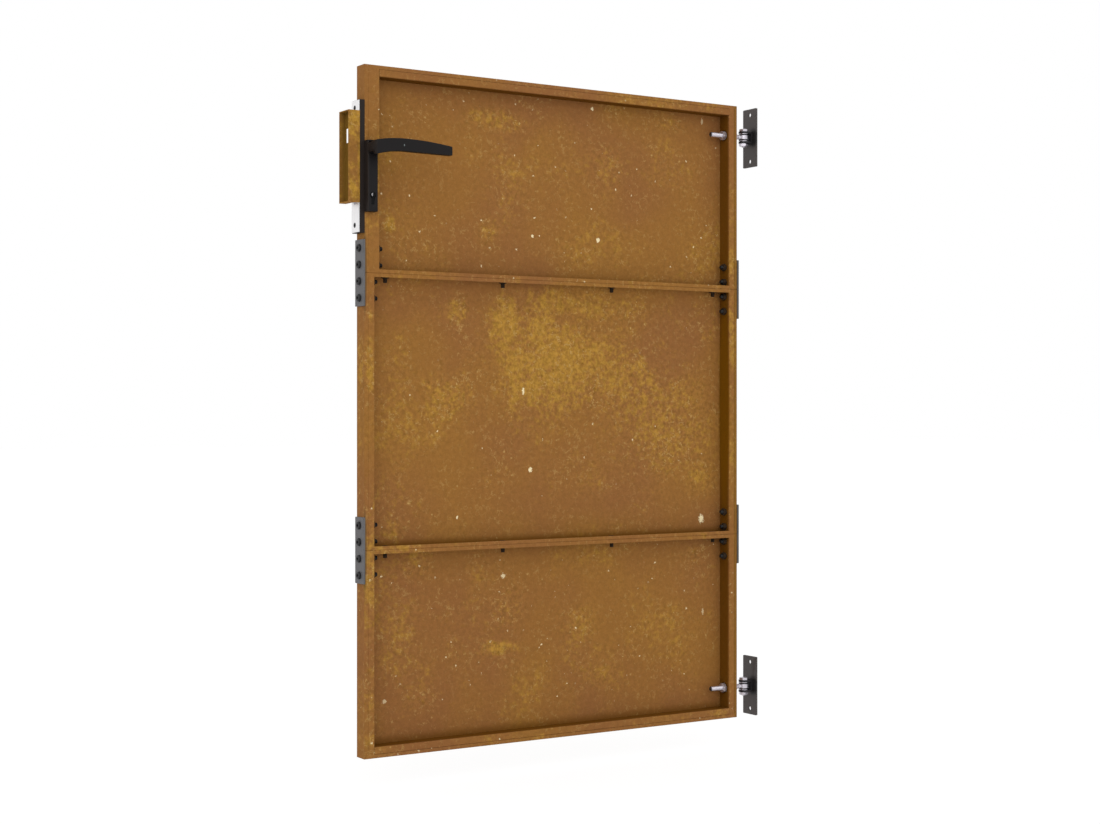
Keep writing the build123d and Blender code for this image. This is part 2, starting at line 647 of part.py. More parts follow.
# Lock case: a tray behind the faceplate, closed by a cover on the far side
case_mid_x = (spacer_outside + case_back) / 2
case_length = case_back - spacer_outside


def cut_case_side():
    """Openings for the follower, cylinder and handle screws in one side of the case."""
    with BuildSketch(Plane.XZ.offset(-CASE_THICKNESS)) as openings:
        with Locations((spindle_x, spindle_z)):
            Circle(HUB_JOURNAL_R + RUNNING_CLEARANCE)
        with Locations(*[(spindle_x, z) for z in screw_heights]):
            Circle(HANDLE_SCREW_R + HANDLE_SCREW_CLEARANCE)
        with Locations((spindle_x, cylinder_z)):
            cylinder_profile(CYLINDER_CLEARANCE)
    extrude(openings.sketch, amount=2 * CASE_THICKNESS, mode=Mode.SUBTRACT)


with BuildPart() as case:
    with BuildSketch(Plane.XZ.offset(-case_inside)):
        with Locations((case_mid_x, spacer_z)):
            Rectangle(case_length, CASE_HEIGHT)
    extrude(amount=CASE_THICKNESS - CASE_WALL)
    with BuildSketch(Plane.XZ.offset(-case_inside)):
        with Locations((case_mid_x - CASE_WALL, spacer_z)):
            Rectangle(case_length, CASE_HEIGHT - 2 * CASE_WALL)
    extrude(amount=2 * case_inside, mode=Mode.SUBTRACT)
    cut_case_side()
finish(case, "lock_case")

with BuildPart() as case_cover:
    with BuildSketch(Plane.XZ.offset(-CASE_THICKNESS / 2)):
        with Locations((case_mid_x, spacer_z)):
            Rectangle(case_length, CASE_HEIGHT)
    extrude(amount=CASE_WALL)
    cut_case_side()
finish(case_cover, "lock_case_cover")

# Follower: hub on two journals, with an arm that draws the latch back
hub_half = case_inside - HUB_SIDE_CLEARANCE
arm_front = -case_inside + HUB_SIDE_CLEARANCE
with BuildPart() as follower:
    with BuildSketch(Plane.XZ.offset(-hub_half)):
        with Locations((spindle_x, spindle_z)):
            Circle(HUB_R)
    extrude(amount=2 * hub_half)
    with BuildSketch(Plane.XZ.offset(-arm_front - ARM_THICKNESS)):
        with Locations((spindle_x, spindle_z)):
            Rectangle(2 * ARM_NOSE_R, ARM_REACH, align=(Align.CENTER, Align.MIN))
        with Locations((spindle_x, spindle_z + ARM_REACH)):
            Circle(ARM_NOSE_R)
    extrude(amount=ARM_THICKNESS)
    with BuildSketch(Plane.XZ.offset(-CASE_THICKNESS / 2)):
        with Locations((spindle_x, spindle_z)):
            Circle(HUB_JOURNAL_R)
    extrude(amount=CASE_THICKNESS)
    with BuildSketch(Plane.XZ.offset(-CASE_THICKNESS / 2)):
        with Locations((spindle_x, spindle_z)):
            Rectangle(SPINDLE_SIDE + 2 * SPINDLE_CLEARANCE, SPINDLE_SIDE + 2 * SPINDLE_CLEARANCE)
    extrude(amount=CASE_THICKNESS, mode=Mode.SUBTRACT)
finish(follower, "follower")

# Square spindle from one lever to the other
neck_end = plate_face - NECK_DEPTH
spindle_half = neck_end + SPINDLE_ENGAGEMENT - SPINDLE_END_ROOM
with BuildPart() as spindle:
    with BuildSketch(Plane.XZ.offset(-spindle_half)):
        with Locations((spindle_x, spindle_z)):
            Rectangle(SPINDLE_SIDE, SPINDLE_SIDE)
    extrude(amount=2 * spindle_half)
finish(spindle, "spindle")

# Lever on the front side: an arched flat bar on a shank, whose neck turns in the handle plate
lever_plane = Plane(origin=(spindle_x, -lever_face, spindle_z), x_dir=TO_WALL, z_dir=TO_FRONT)
shank_length = LEVER_STANDOUT - HANDLE_PLATE_THICKNESS - LEVER_SIDE_CLEARANCE
grub_y = plate_face + 2 * GRUB_R
grub_z = spindle_z - SPINDLE_SIDE / 2
grub_seats = [seat(spindle_x, side * grub_y, grub_z, DOWN) for side in (-1, 1)]
with BuildPart() as inside_lever:
    with BuildSketch(lever_plane):
        with BuildLine():
            crest = (LEVER_CREST_AT, LEVER_CREST)
            waist = (LEVER_CREST_AT, -LEVER_WAIST)
            root_top = (-SHANK_HALF_WIDTH, SHANK_TOP)
            root_foot = (-SHANK_HALF_WIDTH, -SHANK_FOOT)
            tip_top = (LEVER_LENGTH, LEVER_TIP_TOP)
            tip_foot = (LEVER_LENGTH, -LEVER_TIP_FOOT)
            TangentArc(crest, root_top, tangent=(-1, 0))
            TangentArc(crest, tip_top, tangent=(1, 0))
            Line(tip_top, tip_foot)
            Line(tip_foot, waist)
            TangentArc(waist, root_foot, tangent=(-1, 0))
            Line(root_foot, root_top)
        make_face()
    extrude(amount=-LEVER_THICKNESS)
    fillet(inside_lever.edges().filter_by(Axis.Y), LEVER_ROUND)
    fillet(inside_lever.faces().sort_by(Axis.Y)[0].edges(), LEVER_ROUND)
    with BuildSketch(lever_plane.offset(-LEVER_THICKNESS)):
        with Locations((0, (SHANK_TOP - SHANK_DROP) / 2)):
            RectangleRounded(2 * SHANK_HALF_WIDTH, SHANK_TOP + SHANK_DROP, SHANK_CORNER)
    extrude(amount=LEVER_THICKNESS - shank_length)
    with BuildSketch(lever_plane.offset(-shank_length)):
        Circle(NECK_R)
    extrude(amount=-LEVER_SIDE_CLEARANCE - NECK_DEPTH)
    with BuildSketch(lever_plane.offset(neck_end - lever_face)):
        Rectangle(SPINDLE_SIDE + 2 * SPINDLE_CLEARANCE, SPINDLE_SIDE + 2 * SPINDLE_CLEARANCE)
    extrude(amount=SPINDLE_ENGAGEMENT, mode=Mode.SUBTRACT)
    with Locations(*grub_seats):
        Cylinder(GRUB_R + THREAD_CLEARANCE, SHANK_FOOT, align=ON_SEAT, mode=Mode.SUBTRACT)
finish(inside_lever, "inside_lever")

with BuildPart() as outside_lever:
    mirror(inside_lever.part, about=Plane.XZ)
finish(outside_lever, "outside_lever")

with BuildPart() as grub_screws:
    with Locations(*grub_seats):
        Cylinder(GRUB_R, GRUB_LENGTH, align=ON_SEAT)
    with BuildSketch(*[place.offset(GRUB_LENGTH) for place in grub_seats]):
        RegularPolygon(GRUB_R / 2, 6, major_radius=False)
    extrude(amount=-GRUB_LENGTH / 2, mode=Mode.SUBTRACT)
finish(grub_screws, "lever_grub_screws")

# Handle plates: the inside one is tapped for the screws, the outside one takes their heads
handle_plate_z = spindle_z + HANDLE_PLATE_RISE - HANDLE_PLATE_HEIGHT / 2
with BuildPart() as plate_blank:
    with BuildSketch(Plane.XZ.offset(-front)):
        with Locations((spindle_x, handle_plate_z)):
            Rectangle(HANDLE_PLATE_WIDTH, HANDLE_PLATE_HEIGHT)
    extrude(amount=HANDLE_PLATE_THICKNESS)
    fillet(plate_blank.faces().sort_by(Axis.Y)[0].edges(), HANDLE_PLATE_ROUND)
    with BuildSketch(Plane.XZ.offset(-front)):
        with Locations((spindle_x, spindle_z)):
            Circle(SPINDLE_HOLE_R)
        with Locations((spindle_x, cylinder_z)):
            cylinder_profile(CYLINDER_CLEARANCE)
    extrude(amount=HANDLE_PLATE_THICKNESS, mode=Mode.SUBTRACT)
    neck_depth = NECK_DEPTH + LEVER_SIDE_CLEARANCE
    drill([seat(spindle_x, -plate_face, spindle_z, TO_FRONT)], NECK_R + RUNNING_CLEARANCE, 2 * neck_depth)

with BuildPart() as inside_plate:
    add(plate_blank.part)
    tapped_holes = [seat(spindle_x, front, z, TO_FRONT) for z in screw_heights]
    drill(tapped_holes, HANDLE_SCREW_R + THREAD_CLEARANCE, 2 * HANDLE_SCREW_BITE)
finish(inside_plate, "inside_handle_plate")

handle_screw_seats = [seat(spindle_x, plate_face, z, TO_BACK) for z in screw_heights]
handle_screw_length = plate_face - front + HANDLE_SCREW_BITE - HANDLE_SCREW_END_ROOM
with BuildPart() as outside_plate:
    mirror(plate_blank.part, about=Plane.XZ)
    drill(handle_screw_seats, HANDLE_SCREW_R + HANDLE_SCREW_CLEARANCE, 4 * HANDLE_PLATE_THICKNESS)
    drill(handle_screw_seats, HANDLE_SCREW_HEAD_R + HANDLE_SCREW_CLEARANCE, 2 * HANDLE_SCREW_HEAD_HEIGHT)
finish(outside_plate, "outside_handle_plate")

with BuildPart() as handle_screws:
    with Locations(*handle_screw_seats):
        Cylinder(HANDLE_SCREW_HEAD_R, HANDLE_SCREW_HEAD_HEIGHT, align=BELOW_SEAT)
        Cylinder(HANDLE_SCREW_R, handle_screw_length, align=BELOW_SEAT)
    with BuildSketch(*handle_screw_seats):
        RegularPolygon(HANDLE_SCREW_FLATS / 2, 6, major_radius=False)
    extrude(amount=-HANDLE_SCREW_HEAD_HEIGHT / 2, mode=Mode.SUBTRACT)
finish(handle_screws, "handle_screws")

# Latch bolt: bevelled head, with a tail beside the follower's arm and a lug behind its nose
latch_back = spacer_outside + LATCH_HEAD_BACK
latch_side = LATCH_THICKNESS / 2
tail_front = arm_front + ARM_THICKNESS + TAIL_TO_ARM
lug_front = spindle_x + ARM_NOSE_R + LUG_GAP
lug_foot = spindle_z + LUG_RISE
with BuildPart() as latch:
    with BuildSketch(Plane.XY.offset(latch_z - LATCH_HEIGHT / 2)):
        with BuildLine():
            Polyline(
                (latch_tip, latch_side),
                (latch_back, latch_side),
                (latch_back, -latch_side),
                (latch_tip + LATCH_BEVEL, -latch_side),
                (latch_tip, latch_side - LATCH_TIP_FLAT),
                close=True,
            )
        make_face()
    extrude(amount=LATCH_HEIGHT)
    with Locations((latch_back, tail_front, lug_foot)):
        Box(lug_front + LUG_LENGTH - latch_back, TAIL_THICKNESS, LUG_HEIGHT, align=FROM_CORNER)
    with Locations((lug_front, arm_front, lug_foot)):
        Box(LUG_LENGTH, tail_front + TAIL_THICKNESS - arm_front, LUG_HEIGHT, align=FROM_CORNER)
finish(latch, "latch_bolt")

# Spring between the latch head and the back of the case
spring_start = latch_back + SPRING_WIRE_R + SPRING_END_ROOM
spring_end = case_back - CASE_WALL - SPRING_WIRE_R - SPRING_END_ROOM
spring_length = spring_end - spring_start
spring_foot = (spring_start, SPRING_Y, spindle_z + SPRING_RISE)
with BuildPart() as spring:
    with BuildLine() as coil:
        Helix(spring_length / SPRING_TURNS, spring_length, SPRING_R, center=spring_foot, direction=TO_WALL)
    with BuildSketch(Plane(origin=coil.line @ 0, z_dir=coil.line % 0)):
        Circle(SPRING_WIRE_R)
    sweep(path=coil.line, is_frenet=True)
finish(spring, "latch_spring")

with BuildPart() as dead_bolt:
    with Locations((lock_face + DEAD_BOLT_RECESS, 0, dead_bolt_z)):
        Box(
            DEAD_BOLT_LENGTH,
            DEAD_BOLT_THICKNESS,
            DEAD_BOLT_HEIGHT,
            align=(Align.MIN, Align.CENTER, Align.CENTER),
        )
finish(dead_bolt, "dead_bolt")

# Profile cylinder: two halves joined by a bridge below the cam, with a plug in each half
with BuildPart() as cylinder_body:
    with BuildSketch(Plane.XZ.offset(-cylinder_half)):
        with Locations((spindle_x, cylinder_z)):
            cylinder_profile(0)
            Circle(PLUG_R + THREAD_CLEARANCE, mode=Mode.SUBTRACT)
    extrude(amount=2 * cylinder_half)
    with Locations((spindle_x, 0, cylinder_z - CAM_REACH - CAM_CLEARANCE)):
        Box(
            4 * CYLINDER_R,
            CAM_WIDTH + 2 * CAM_SIDE_CLEARANCE,
            4 * CYLINDER_R,
            align=(Align.CENTER, Align.CENTER, Align.MIN),
            mode=Mode.SUBTRACT,
        )
    drill(cylinder_screw_seats, CYLINDER_SCREW_R + THREAD_CLEARANCE, 3 * cylinder_screw_length)
finish(cylinder_body, "cylinder_body")

plug_plane = Plane(origin=(spindle_x, -plug_half, cylinder_z), x_dir=TO_WALL, z_dir=TO_FRONT)
with BuildPart() as inside_plug:
    with BuildSketch(plug_plane):
        Circle(PLUG_R)
    extrude(amount=CAM_WIDTH / 2 - plug_half)
    with BuildSketch(plug_plane):
        Rectangle(KEYWAY_WIDTH, KEYWAY_HEIGHT)
    extrude(amount=-KEYWAY_DEPTH, mode=Mode.SUBTRACT)
finish(inside_plug, "inside_cylinder_plug")

with BuildPart() as outside_plug:
    mirror(inside_plug.part, about=Plane.XZ)
finish(outside_plug, "outside_cylinder_plug")

with BuildPart() as cam:
    with BuildSketch(Plane.XZ.offset(-CAM_WIDTH / 2)):
        with Locations((spindle_x, cylinder_z)):
            Circle(CYLINDER_R)
            Rectangle(CAM_LOBE_WIDTH, CAM_REACH - CAM_LOBE_WIDTH / 2, align=(Align.CENTER, Align.MAX))
        with Locations((spindle_x, cylinder_z - CAM_REACH + CAM_LOBE_WIDTH / 2)):
            Circle(CAM_LOBE_WIDTH / 2)
    extrude(amount=CAM_WIDTH)
finish(cam, "cylinder_cam")

# Keeper: a folded box, open to the post, with windows for both bolts
keeper_length = keeper_web_face - keeper_free_edge
cap_rise = (KEEPER_HEIGHT - KEEPER_SHEET) / 2
latch_window_y = (LATCH_WINDOW_FRONT_INSET - LATCH_WINDOW_BACK_INSET) / 2
latch_window_width = LEAF_DEPTH - LATCH_WINDOW_FRONT_INSET - LATCH_WINDOW_BACK_INSET
keeper_screw_rise = KEEPER_HEIGHT / 2 - KEEPER_SCREW_INSET
keeper_screw_zs = [keeper_z - keeper_screw_rise, keeper_z + keeper_screw_rise]
with BuildPart() as keeper:
    with Locations((keeper_web_face, 0, keeper_z)):
        Box(KEEPER_SHEET, LEAF_DEPTH, KEEPER_HEIGHT, align=(Align.MAX, Align.CENTER, Align.CENTER))
    with Locations((keeper_free_edge, back, keeper_z)):
        Box(keeper_length, KEEPER_SHEET, KEEPER_HEIGHT, align=(Align.MIN, Align.MIN, Align.CENTER))
    with Locations(*[(keeper_free_edge, 0, keeper_z + side * cap_rise) for side in (-1, 1)]):
        Box(keeper_length, LEAF_DEPTH, KEEPER_SHEET, align=(Align.MIN, Align.CENTER, Align.CENTER))
    with Locations((keeper_web_face, latch_window_y, latch_z)):
        Box(4 * KEEPER_SHEET, latch_window_width, LATCH_WINDOW_HEIGHT, mode=Mode.SUBTRACT)
    with Locations((keeper_web_face, 0, dead_bolt_z)):
        Box(
            4 * KEEPER_SHEET,
            DEAD_BOLT_THICKNESS + 2 * DEAD_BOLT_WINDOW_CLEARANCE,
            DEAD_BOLT_HEIGHT + 2 * DEAD_BOLT_WINDOW_CLEARANCE,
            mode=Mode.SUBTRACT,
        )
    drill([seat(keeper_web_face, 0, z, TO_WALL) for z in keeper_screw_zs], KEEPER_SCREW_R, 4 * KEEPER_SHEET)
finish(keeper, "keeper_channel")

with BuildPart() as keeper_front:
    with Locations((keeper_free_edge, front, keeper_z)):
        Box(
            lock_face + KEEPER_FRONT_LAP - keeper_free_edge,
            KEEPER_SHEET,
            KEEPER_HEIGHT,
            align=(Align.MIN, Align.MAX, Align.CENTER),
        )
    leaf_side_edges = keeper_front.edges().filter_by(Axis.Z).group_by(Axis.X)[-1]
    fillet(leaf_side_edges.sort_by(Axis.Y)[0], KEEPER_EDGE_ROUND)
finish(keeper_front, "keeper_front_plate")
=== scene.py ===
"""Looks of the steel garden gate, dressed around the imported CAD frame.

Sizes in the classes are millimetres in the frame of the CAD part: +X runs into the wall that carries
the hinges, +Y to the side that the gate opens to, +Z up. Meshes are made in metres.
"""
import logging
import math
from dataclasses import dataclass, field
from enum import Enum
from typing import Callable, Optional, Sequence, Union

import bmesh
import bpy
from mathutils import Euler, Matrix, Vector


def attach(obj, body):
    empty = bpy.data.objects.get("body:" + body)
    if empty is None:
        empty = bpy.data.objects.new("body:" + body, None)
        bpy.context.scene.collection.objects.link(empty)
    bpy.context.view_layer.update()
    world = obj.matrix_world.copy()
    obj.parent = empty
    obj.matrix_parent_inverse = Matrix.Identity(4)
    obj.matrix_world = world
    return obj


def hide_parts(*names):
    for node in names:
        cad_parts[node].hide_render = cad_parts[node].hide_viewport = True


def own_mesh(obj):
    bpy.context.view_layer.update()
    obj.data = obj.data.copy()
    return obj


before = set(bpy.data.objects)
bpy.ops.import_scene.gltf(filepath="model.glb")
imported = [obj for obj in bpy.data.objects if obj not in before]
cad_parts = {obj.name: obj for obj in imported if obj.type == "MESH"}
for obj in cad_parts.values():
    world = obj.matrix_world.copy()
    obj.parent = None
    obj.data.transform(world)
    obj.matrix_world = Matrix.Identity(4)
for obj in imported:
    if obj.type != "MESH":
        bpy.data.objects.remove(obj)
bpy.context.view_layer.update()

LOG = logging.getLogger("garden_gate")
MM = 0.001
FULL_TURN = 2 * math.pi
CREASE_ANGLE = math.radians(32.0)
MERGE_DISTANCE = 0.002 * MM

Colour = tuple[float, float, float]
Point = tuple[float, float, float]
Span = tuple[float, float]
Profile = Union[float, Callable[[float], float]]
Socket = bpy.types.NodeSocket
Feed = Union[Socket, float, Sequence[float]]

# No stretch along any axis, and the half height of a mark that runs on past both ends of a piece
EVEN: Point = (1.0, 1.0, 1.0)
ENDLESS = 6000.0


@dataclass(frozen=True)
class GateSizes:
    """Sizes of the gate that several sub-assemblies and finishes share."""

    foot: float = -60.0
    head: float = 1190.0
    joints: Span = (315.0, 815.0)
    hinges: Span = (0.0, 1130.0)
    lock_edge: float = -900.0
    hinge_edge: float = -50.0
    front: float = -17.0
    panel: float = 15.0
    sheet: float = 2.0
    rail: float = 20.0
    stile: float = 20.0
    lock_stile: float = 30.0
    stud_end: float = -106.0

    @property
    def lock_inside(self) -> float:
        """Inner face of the lock stile."""
        return self.lock_edge + self.stile

    @property
    def wide_lock_inside(self) -> float:
        """Inner face of the wider lock stile of the top section."""
        return self.lock_edge + self.lock_stile

    @property
    def hinge_inside(self) -> float:
        """Inner face of the hinge stile."""
        return self.hinge_edge - self.stile


GATE = GateSizes()


class Body(Enum):
    """Bodies of the CAD part that pieces ride on."""

    POST = "post_side"
    LEAF = "gate_leaf"
    LEVERS = "lever_set"


class Facing(Enum):
    """Ways that a fastener's head can point, as turns of a piece that is made pointing up."""

    UP = (0.0, 0.0, 0.0)
    DOWN = (math.pi, 0.0, 0.0)
    TO_WALL = (0.0, math.pi / 2, 0.0)
    TO_POST = (0.0, -math.pi / 2, 0.0)


# Node graphs


class NodeGraph:
    """Adds nodes to one tree and links them."""

    def __init__(self, tree: bpy.types.NodeTree) -> None:
        """Keeps the tree that the nodes go into."""
        self.tree = tree

    def add(self, kind: str, feeds: Optional[dict[Union[str, int], Feed]] = None,
            **settings: object) -> bpy.types.Node:
        """Adds one node.

        Args:
            kind: Blender's name for the type of node.
            feeds: What goes into its inputs, by their name or number.
            settings: Properties to set on the node.

        Returns:
            The new node.
        """
        node = self.tree.nodes.new(kind)
        for key, value in settings.items():
            setattr(node, key, value)
        for key, value in (feeds or {}).items():
            self.feed(node.inputs[key], value)
        return node

    def feed(self, target: Socket, value: Feed) -> None:
        """Links an output into an input, or sets the input's own value.

        Args:
            target: The input.
            value: The output, or the value.
        """
        if isinstance(value, bpy.types.NodeSocket):
            self.tree.links.new(value, target)
        else:
            target.default_value = value

    def math(self, operation: str, *values: Feed) -> Feed:
        """Works out a chain of arithmetic.

        Args:
            operation: Name of the operation.
            values: Numbers, taken from left to right.

        Returns:
            The output with the result, or the only value as it is.
        """
        result = values[0]
        for value in values[1:]:
            result = self.add("ShaderNodeMath", {0: result, 1: value}, operation=operation).outputs[0]
        return result

    def times(self, *values: Feed) -> Feed:
        """Multiplies numbers."""
        return self.math("MULTIPLY", *values)

    def plus(self, *values: Feed) -> Feed:
        """Adds numbers."""
        return self.math("ADD", *values)

    def minus(self, *values: Feed) -> Feed:
        """Takes the later numbers from the first."""
        return self.math("SUBTRACT", *values)

    def most(self, *values: Feed) -> Feed:
        """Gives the largest of several numbers."""
        return self.math("MAXIMUM", *values)

    def least(self, *values: Feed) -> Feed:
        """Gives the least of several numbers."""
        return self.math("MINIMUM", *values)


@dataclass(frozen=True)
class Cloud:
    """Cloudy noise: features to the metre, octaves of finer noise and its weight.

    A shift along all axes makes two patterns differ, and a stretch makes streaks.
    """

    scale: float
    detail: float = 3.0
    roughness: float = 0.55
    shift: float = 0.0
    stretch: Point = EVEN


class SurfaceGraph(NodeGraph):
    """Shader graph of one material, whose patterns lie in the object's own coordinates.

    A dot fades from a share of its radius, and its outline has several features to a place.
    """

    DOT_CORE = 0.6
    DOT_FEATURES = 9.0

    def __init__(self, name: str) -> None:
        """Makes the material with a bare principled shader.

        Args:
            name: Name of the material.
        """
        self.material = bpy.data.materials.new(name)
        self.material.use_nodes = True
        super().__init__(self.material.node_tree)
        self.tree.nodes.clear()
        self.shader = self.add("ShaderNodeBsdfPrincipled")
        self.add("ShaderNodeOutputMaterial", {"Surface": self.shader.outputs["BSDF"]})
        self.place = self.add("ShaderNodeTexCoord").outputs["Object"]

    def axes(self) -> tuple[Socket, Socket, Socket]:
        """Gives the three object coordinates, in metres."""
        return tuple(self.add("ShaderNodeSeparateXYZ", {0: self.place}).outputs)

    def moved(self, centre: Point, scale: Point) -> Socket:
        """Gives coordinates around a centre.

        Args:
            centre: Centre in metres.
            scale: Factor along each axis.

        Returns:
            The output with the new coordinates.
        """
        feeds = {"Vector": self.place, "Location": [-c * s for c, s in zip(centre, scale)], "Scale": scale}
        return self.add("ShaderNodeMapping", feeds).outputs[0]

    def reach(self, centre: Point, half: Point) -> Socket:
        """Gives the distance from a centre as a share of an oval's half sizes.

        Args:
            centre: Centre of the oval, in millimetres.
            half: Half sizes, infinite along an axis that does not count.

        Returns:
            The output, which is 1 on the oval.
        """
        scale = tuple(1 / (size * MM) for size in half)
        place = self.moved(tuple(value * MM for value in centre), scale)
        return self.add("ShaderNodeVectorMath", {0: place}, operation="LENGTH").outputs["Value"]

    def noise(self, cloud: Cloud) -> Socket:
        """Gives cloudy noise.

        Args:
            cloud: Pattern of the noise.

        Returns:
            The output with the noise, around one half.
        """
        plain = cloud.stretch == EVEN and not cloud.shift
        place = self.place if plain else self.moved((cloud.shift,) * 3, cloud.stretch)
        return self.add("ShaderNodeTexNoise", {
            "Vector": place, "Scale": cloud.scale, "Detail": cloud.detail, "Roughness": cloud.roughness,
        }).outputs[0]

    def clouded(self, cloud: Cloud, low: float, high: float, start: float = 0.0, end: float = 1.0) -> Socket:
        """Gives cloudy noise, mapped as ramp does."""
        return self.ramp(self.noise(cloud), low, high, start, end)

    def drift(self, cloud: Cloud, amount: float) -> Socket:
        """Gives cloudy noise of some strength around zero."""
        return self.times(self.minus(self.noise(cloud), 0.5), amount)

    def dots(self, scale: float, least: float, most: float, share: float) -> Socket:
        """Gives scattered dots of different sizes with uneven outlines.

        Args:
            scale: Places to the metre.
            least: Radius of the smallest dot, as a share of the spacing.
            most: Radius of the largest dot, as a share of the spacing.
            share: Share of the places that have a dot.

        Returns:
            The output, which is 1 in a dot.
        """
        cells = self.add("ShaderNodeTexVoronoi", {"Vector": self.place, "Scale": scale}, feature="F1").outputs
        chance = self.add("ShaderNodeSeparateColor", {0: cells["Color"]}).outputs[0]
        size = self.ramp(chance, 1.0 - share, 1.0, least, most)
        there = self.math("GREATER_THAN", chance, 1.0 - share)
        outline = self.clouded(Cloud(scale * self.DOT_FEATURES, 4.0, 0.65, 7.7), 0.30, 0.70, 0.45, 1.65)
        away = self.times(cells["Distance"], outline)
        return self.times(there, self.ramp(away, self.times(size, self.DOT_CORE), size, 1.0, 0.0))

    def ramp(self, value: Feed, low: Feed, high: Feed, start: Feed = 0.0, end: Feed = 1.0) -> Socket:
        """Maps a range of numbers smoothly to another.

        Args:
            value: Number to map.
            low: Number that gives start.
            high: Number that gives end.
            start: Result at and below low.
            end: Result at and above high.

        Returns:
            The output with the result.
        """
        feeds = dict(enumerate((value, low, high, start, end)))
        return self.add("ShaderNodeMapRange", feeds, interpolation_type="SMOOTHSTEP").outputs[0]

    def between(self, value: Socket, low: float, high: float, start: float = 0.0, end: float = 1.0) -> Socket:
        """Maps a coordinate as ramp does, between two places in millimetres."""
        return self.ramp(value, low * MM, high * MM, start, end)

    def mix(self, share: Feed, first: Feed, second: Feed) -> Socket:
        """Mixes two colours.

        Args:
            share: Share of the second colour.
            first: First colour.
            second: Second colour.

        Returns:
            The output with the colour.
        """
        first, second = ((*c, 1.0) if isinstance(c, tuple) else c for c in (first, second))
        return self.add("ShaderNodeMix", {0: share, 6: first, 7: second}, data_type="RGBA").outputs[2]

    def inset(self, across: Socket, up: Socket, low: float, high: float, foot: float, head: float) -> Socket:
        """Gives the distance in from the nearest of four edges.

        Args:
            across: Coordinate across the outline.
            up: Coordinate up the outline.
            low: Edge at the low end of across, in millimetres.
            high: Edge at its high end.
            foot: Edge at the low end of up.
            head: Edge at its high end.

        Returns:
            The output with the distance in metres, below zero outside.
        """
        return self.least(
            self.minus(across, low * MM), self.minus(high * MM, across),
            self.minus(up, foot * MM), self.minus(head * MM, up))

    def shade(self, colour: Feed, amount: Feed) -> Socket:
        """Multiplies a colour by a number."""
        return self.add("ShaderNodeVectorMath", {0: colour, "Scale": amount}, operation="SCALE").outputs[0]

    def relief(self, height: Feed, depth: float, strength: float) -> None:
        """Gives the surface a relief.

        Args:
            height: Pattern of the relief.
            depth: Depth of the relief in metres.
            strength: How strongly it shows.
        """
        bump = self.add("ShaderNodeBump", {"Strength": strength, "Distance": depth, "Height": height})
        self.feed(self.shader.inputs["Normal"], bump.outputs[0])

    def finish(self, colour: Feed, roughness: Feed, metallic: float, specular: float) -> bpy.types.Material:
        """Joins the colour and gloss to the shader.

        Args:
            colour: Colour of the surface.
            roughness: Roughness of the surface.
            metallic: 1 for bare metal, 0 for paint or rust.
            specular: Specular level of the shader.

        Returns:
            The finished material.
        """
        sockets = {"Base Color": colour, "Roughness": roughness, "Metallic": metallic,
                   "Specular IOR Level": specular}
        for name, value in sockets.items():
            self.feed(self.shader.inputs[name], value)
        return self.material


# Finishes


@dataclass(frozen=True)
class Patch:
    """An oval patch of ochre bloom, or a cream speck, on the leaf's face."""

    x: float
    z: float
    half_width: float
    half_height: float
    strength: float = 1.0


@dataclass(frozen=True)
class MarkOrPaintedLight:
    """A soft-edged mark laid over a finish: a painted shadow, painted shade, a painted highlight, or a pale
    speck or tinted band.
    """

    centre: Point
    half: Point
    colour: Colour
    strength: float = 1.0
    core: float = 0.55

    def reaches(self, low: float, high: float) -> bool:
        """Tells whether the mark comes into a range of heights."""
        return self.centre[2] + self.half[2] >= low and self.centre[2] - self.half[2] <= high

    def over(self, graph: SurfaceGraph, colour: Socket) -> Socket:
        """Lays the mark over a colour.

        Args:
            graph: Graph of the material.
            colour: Colour below the mark.

        Returns:
            The output with the marked colour.
        """
        share = graph.ramp(graph.reach(self.centre, self.half), self.core, 1.0, self.strength, 0.0)
        return graph.mix(share, colour, self.colour)


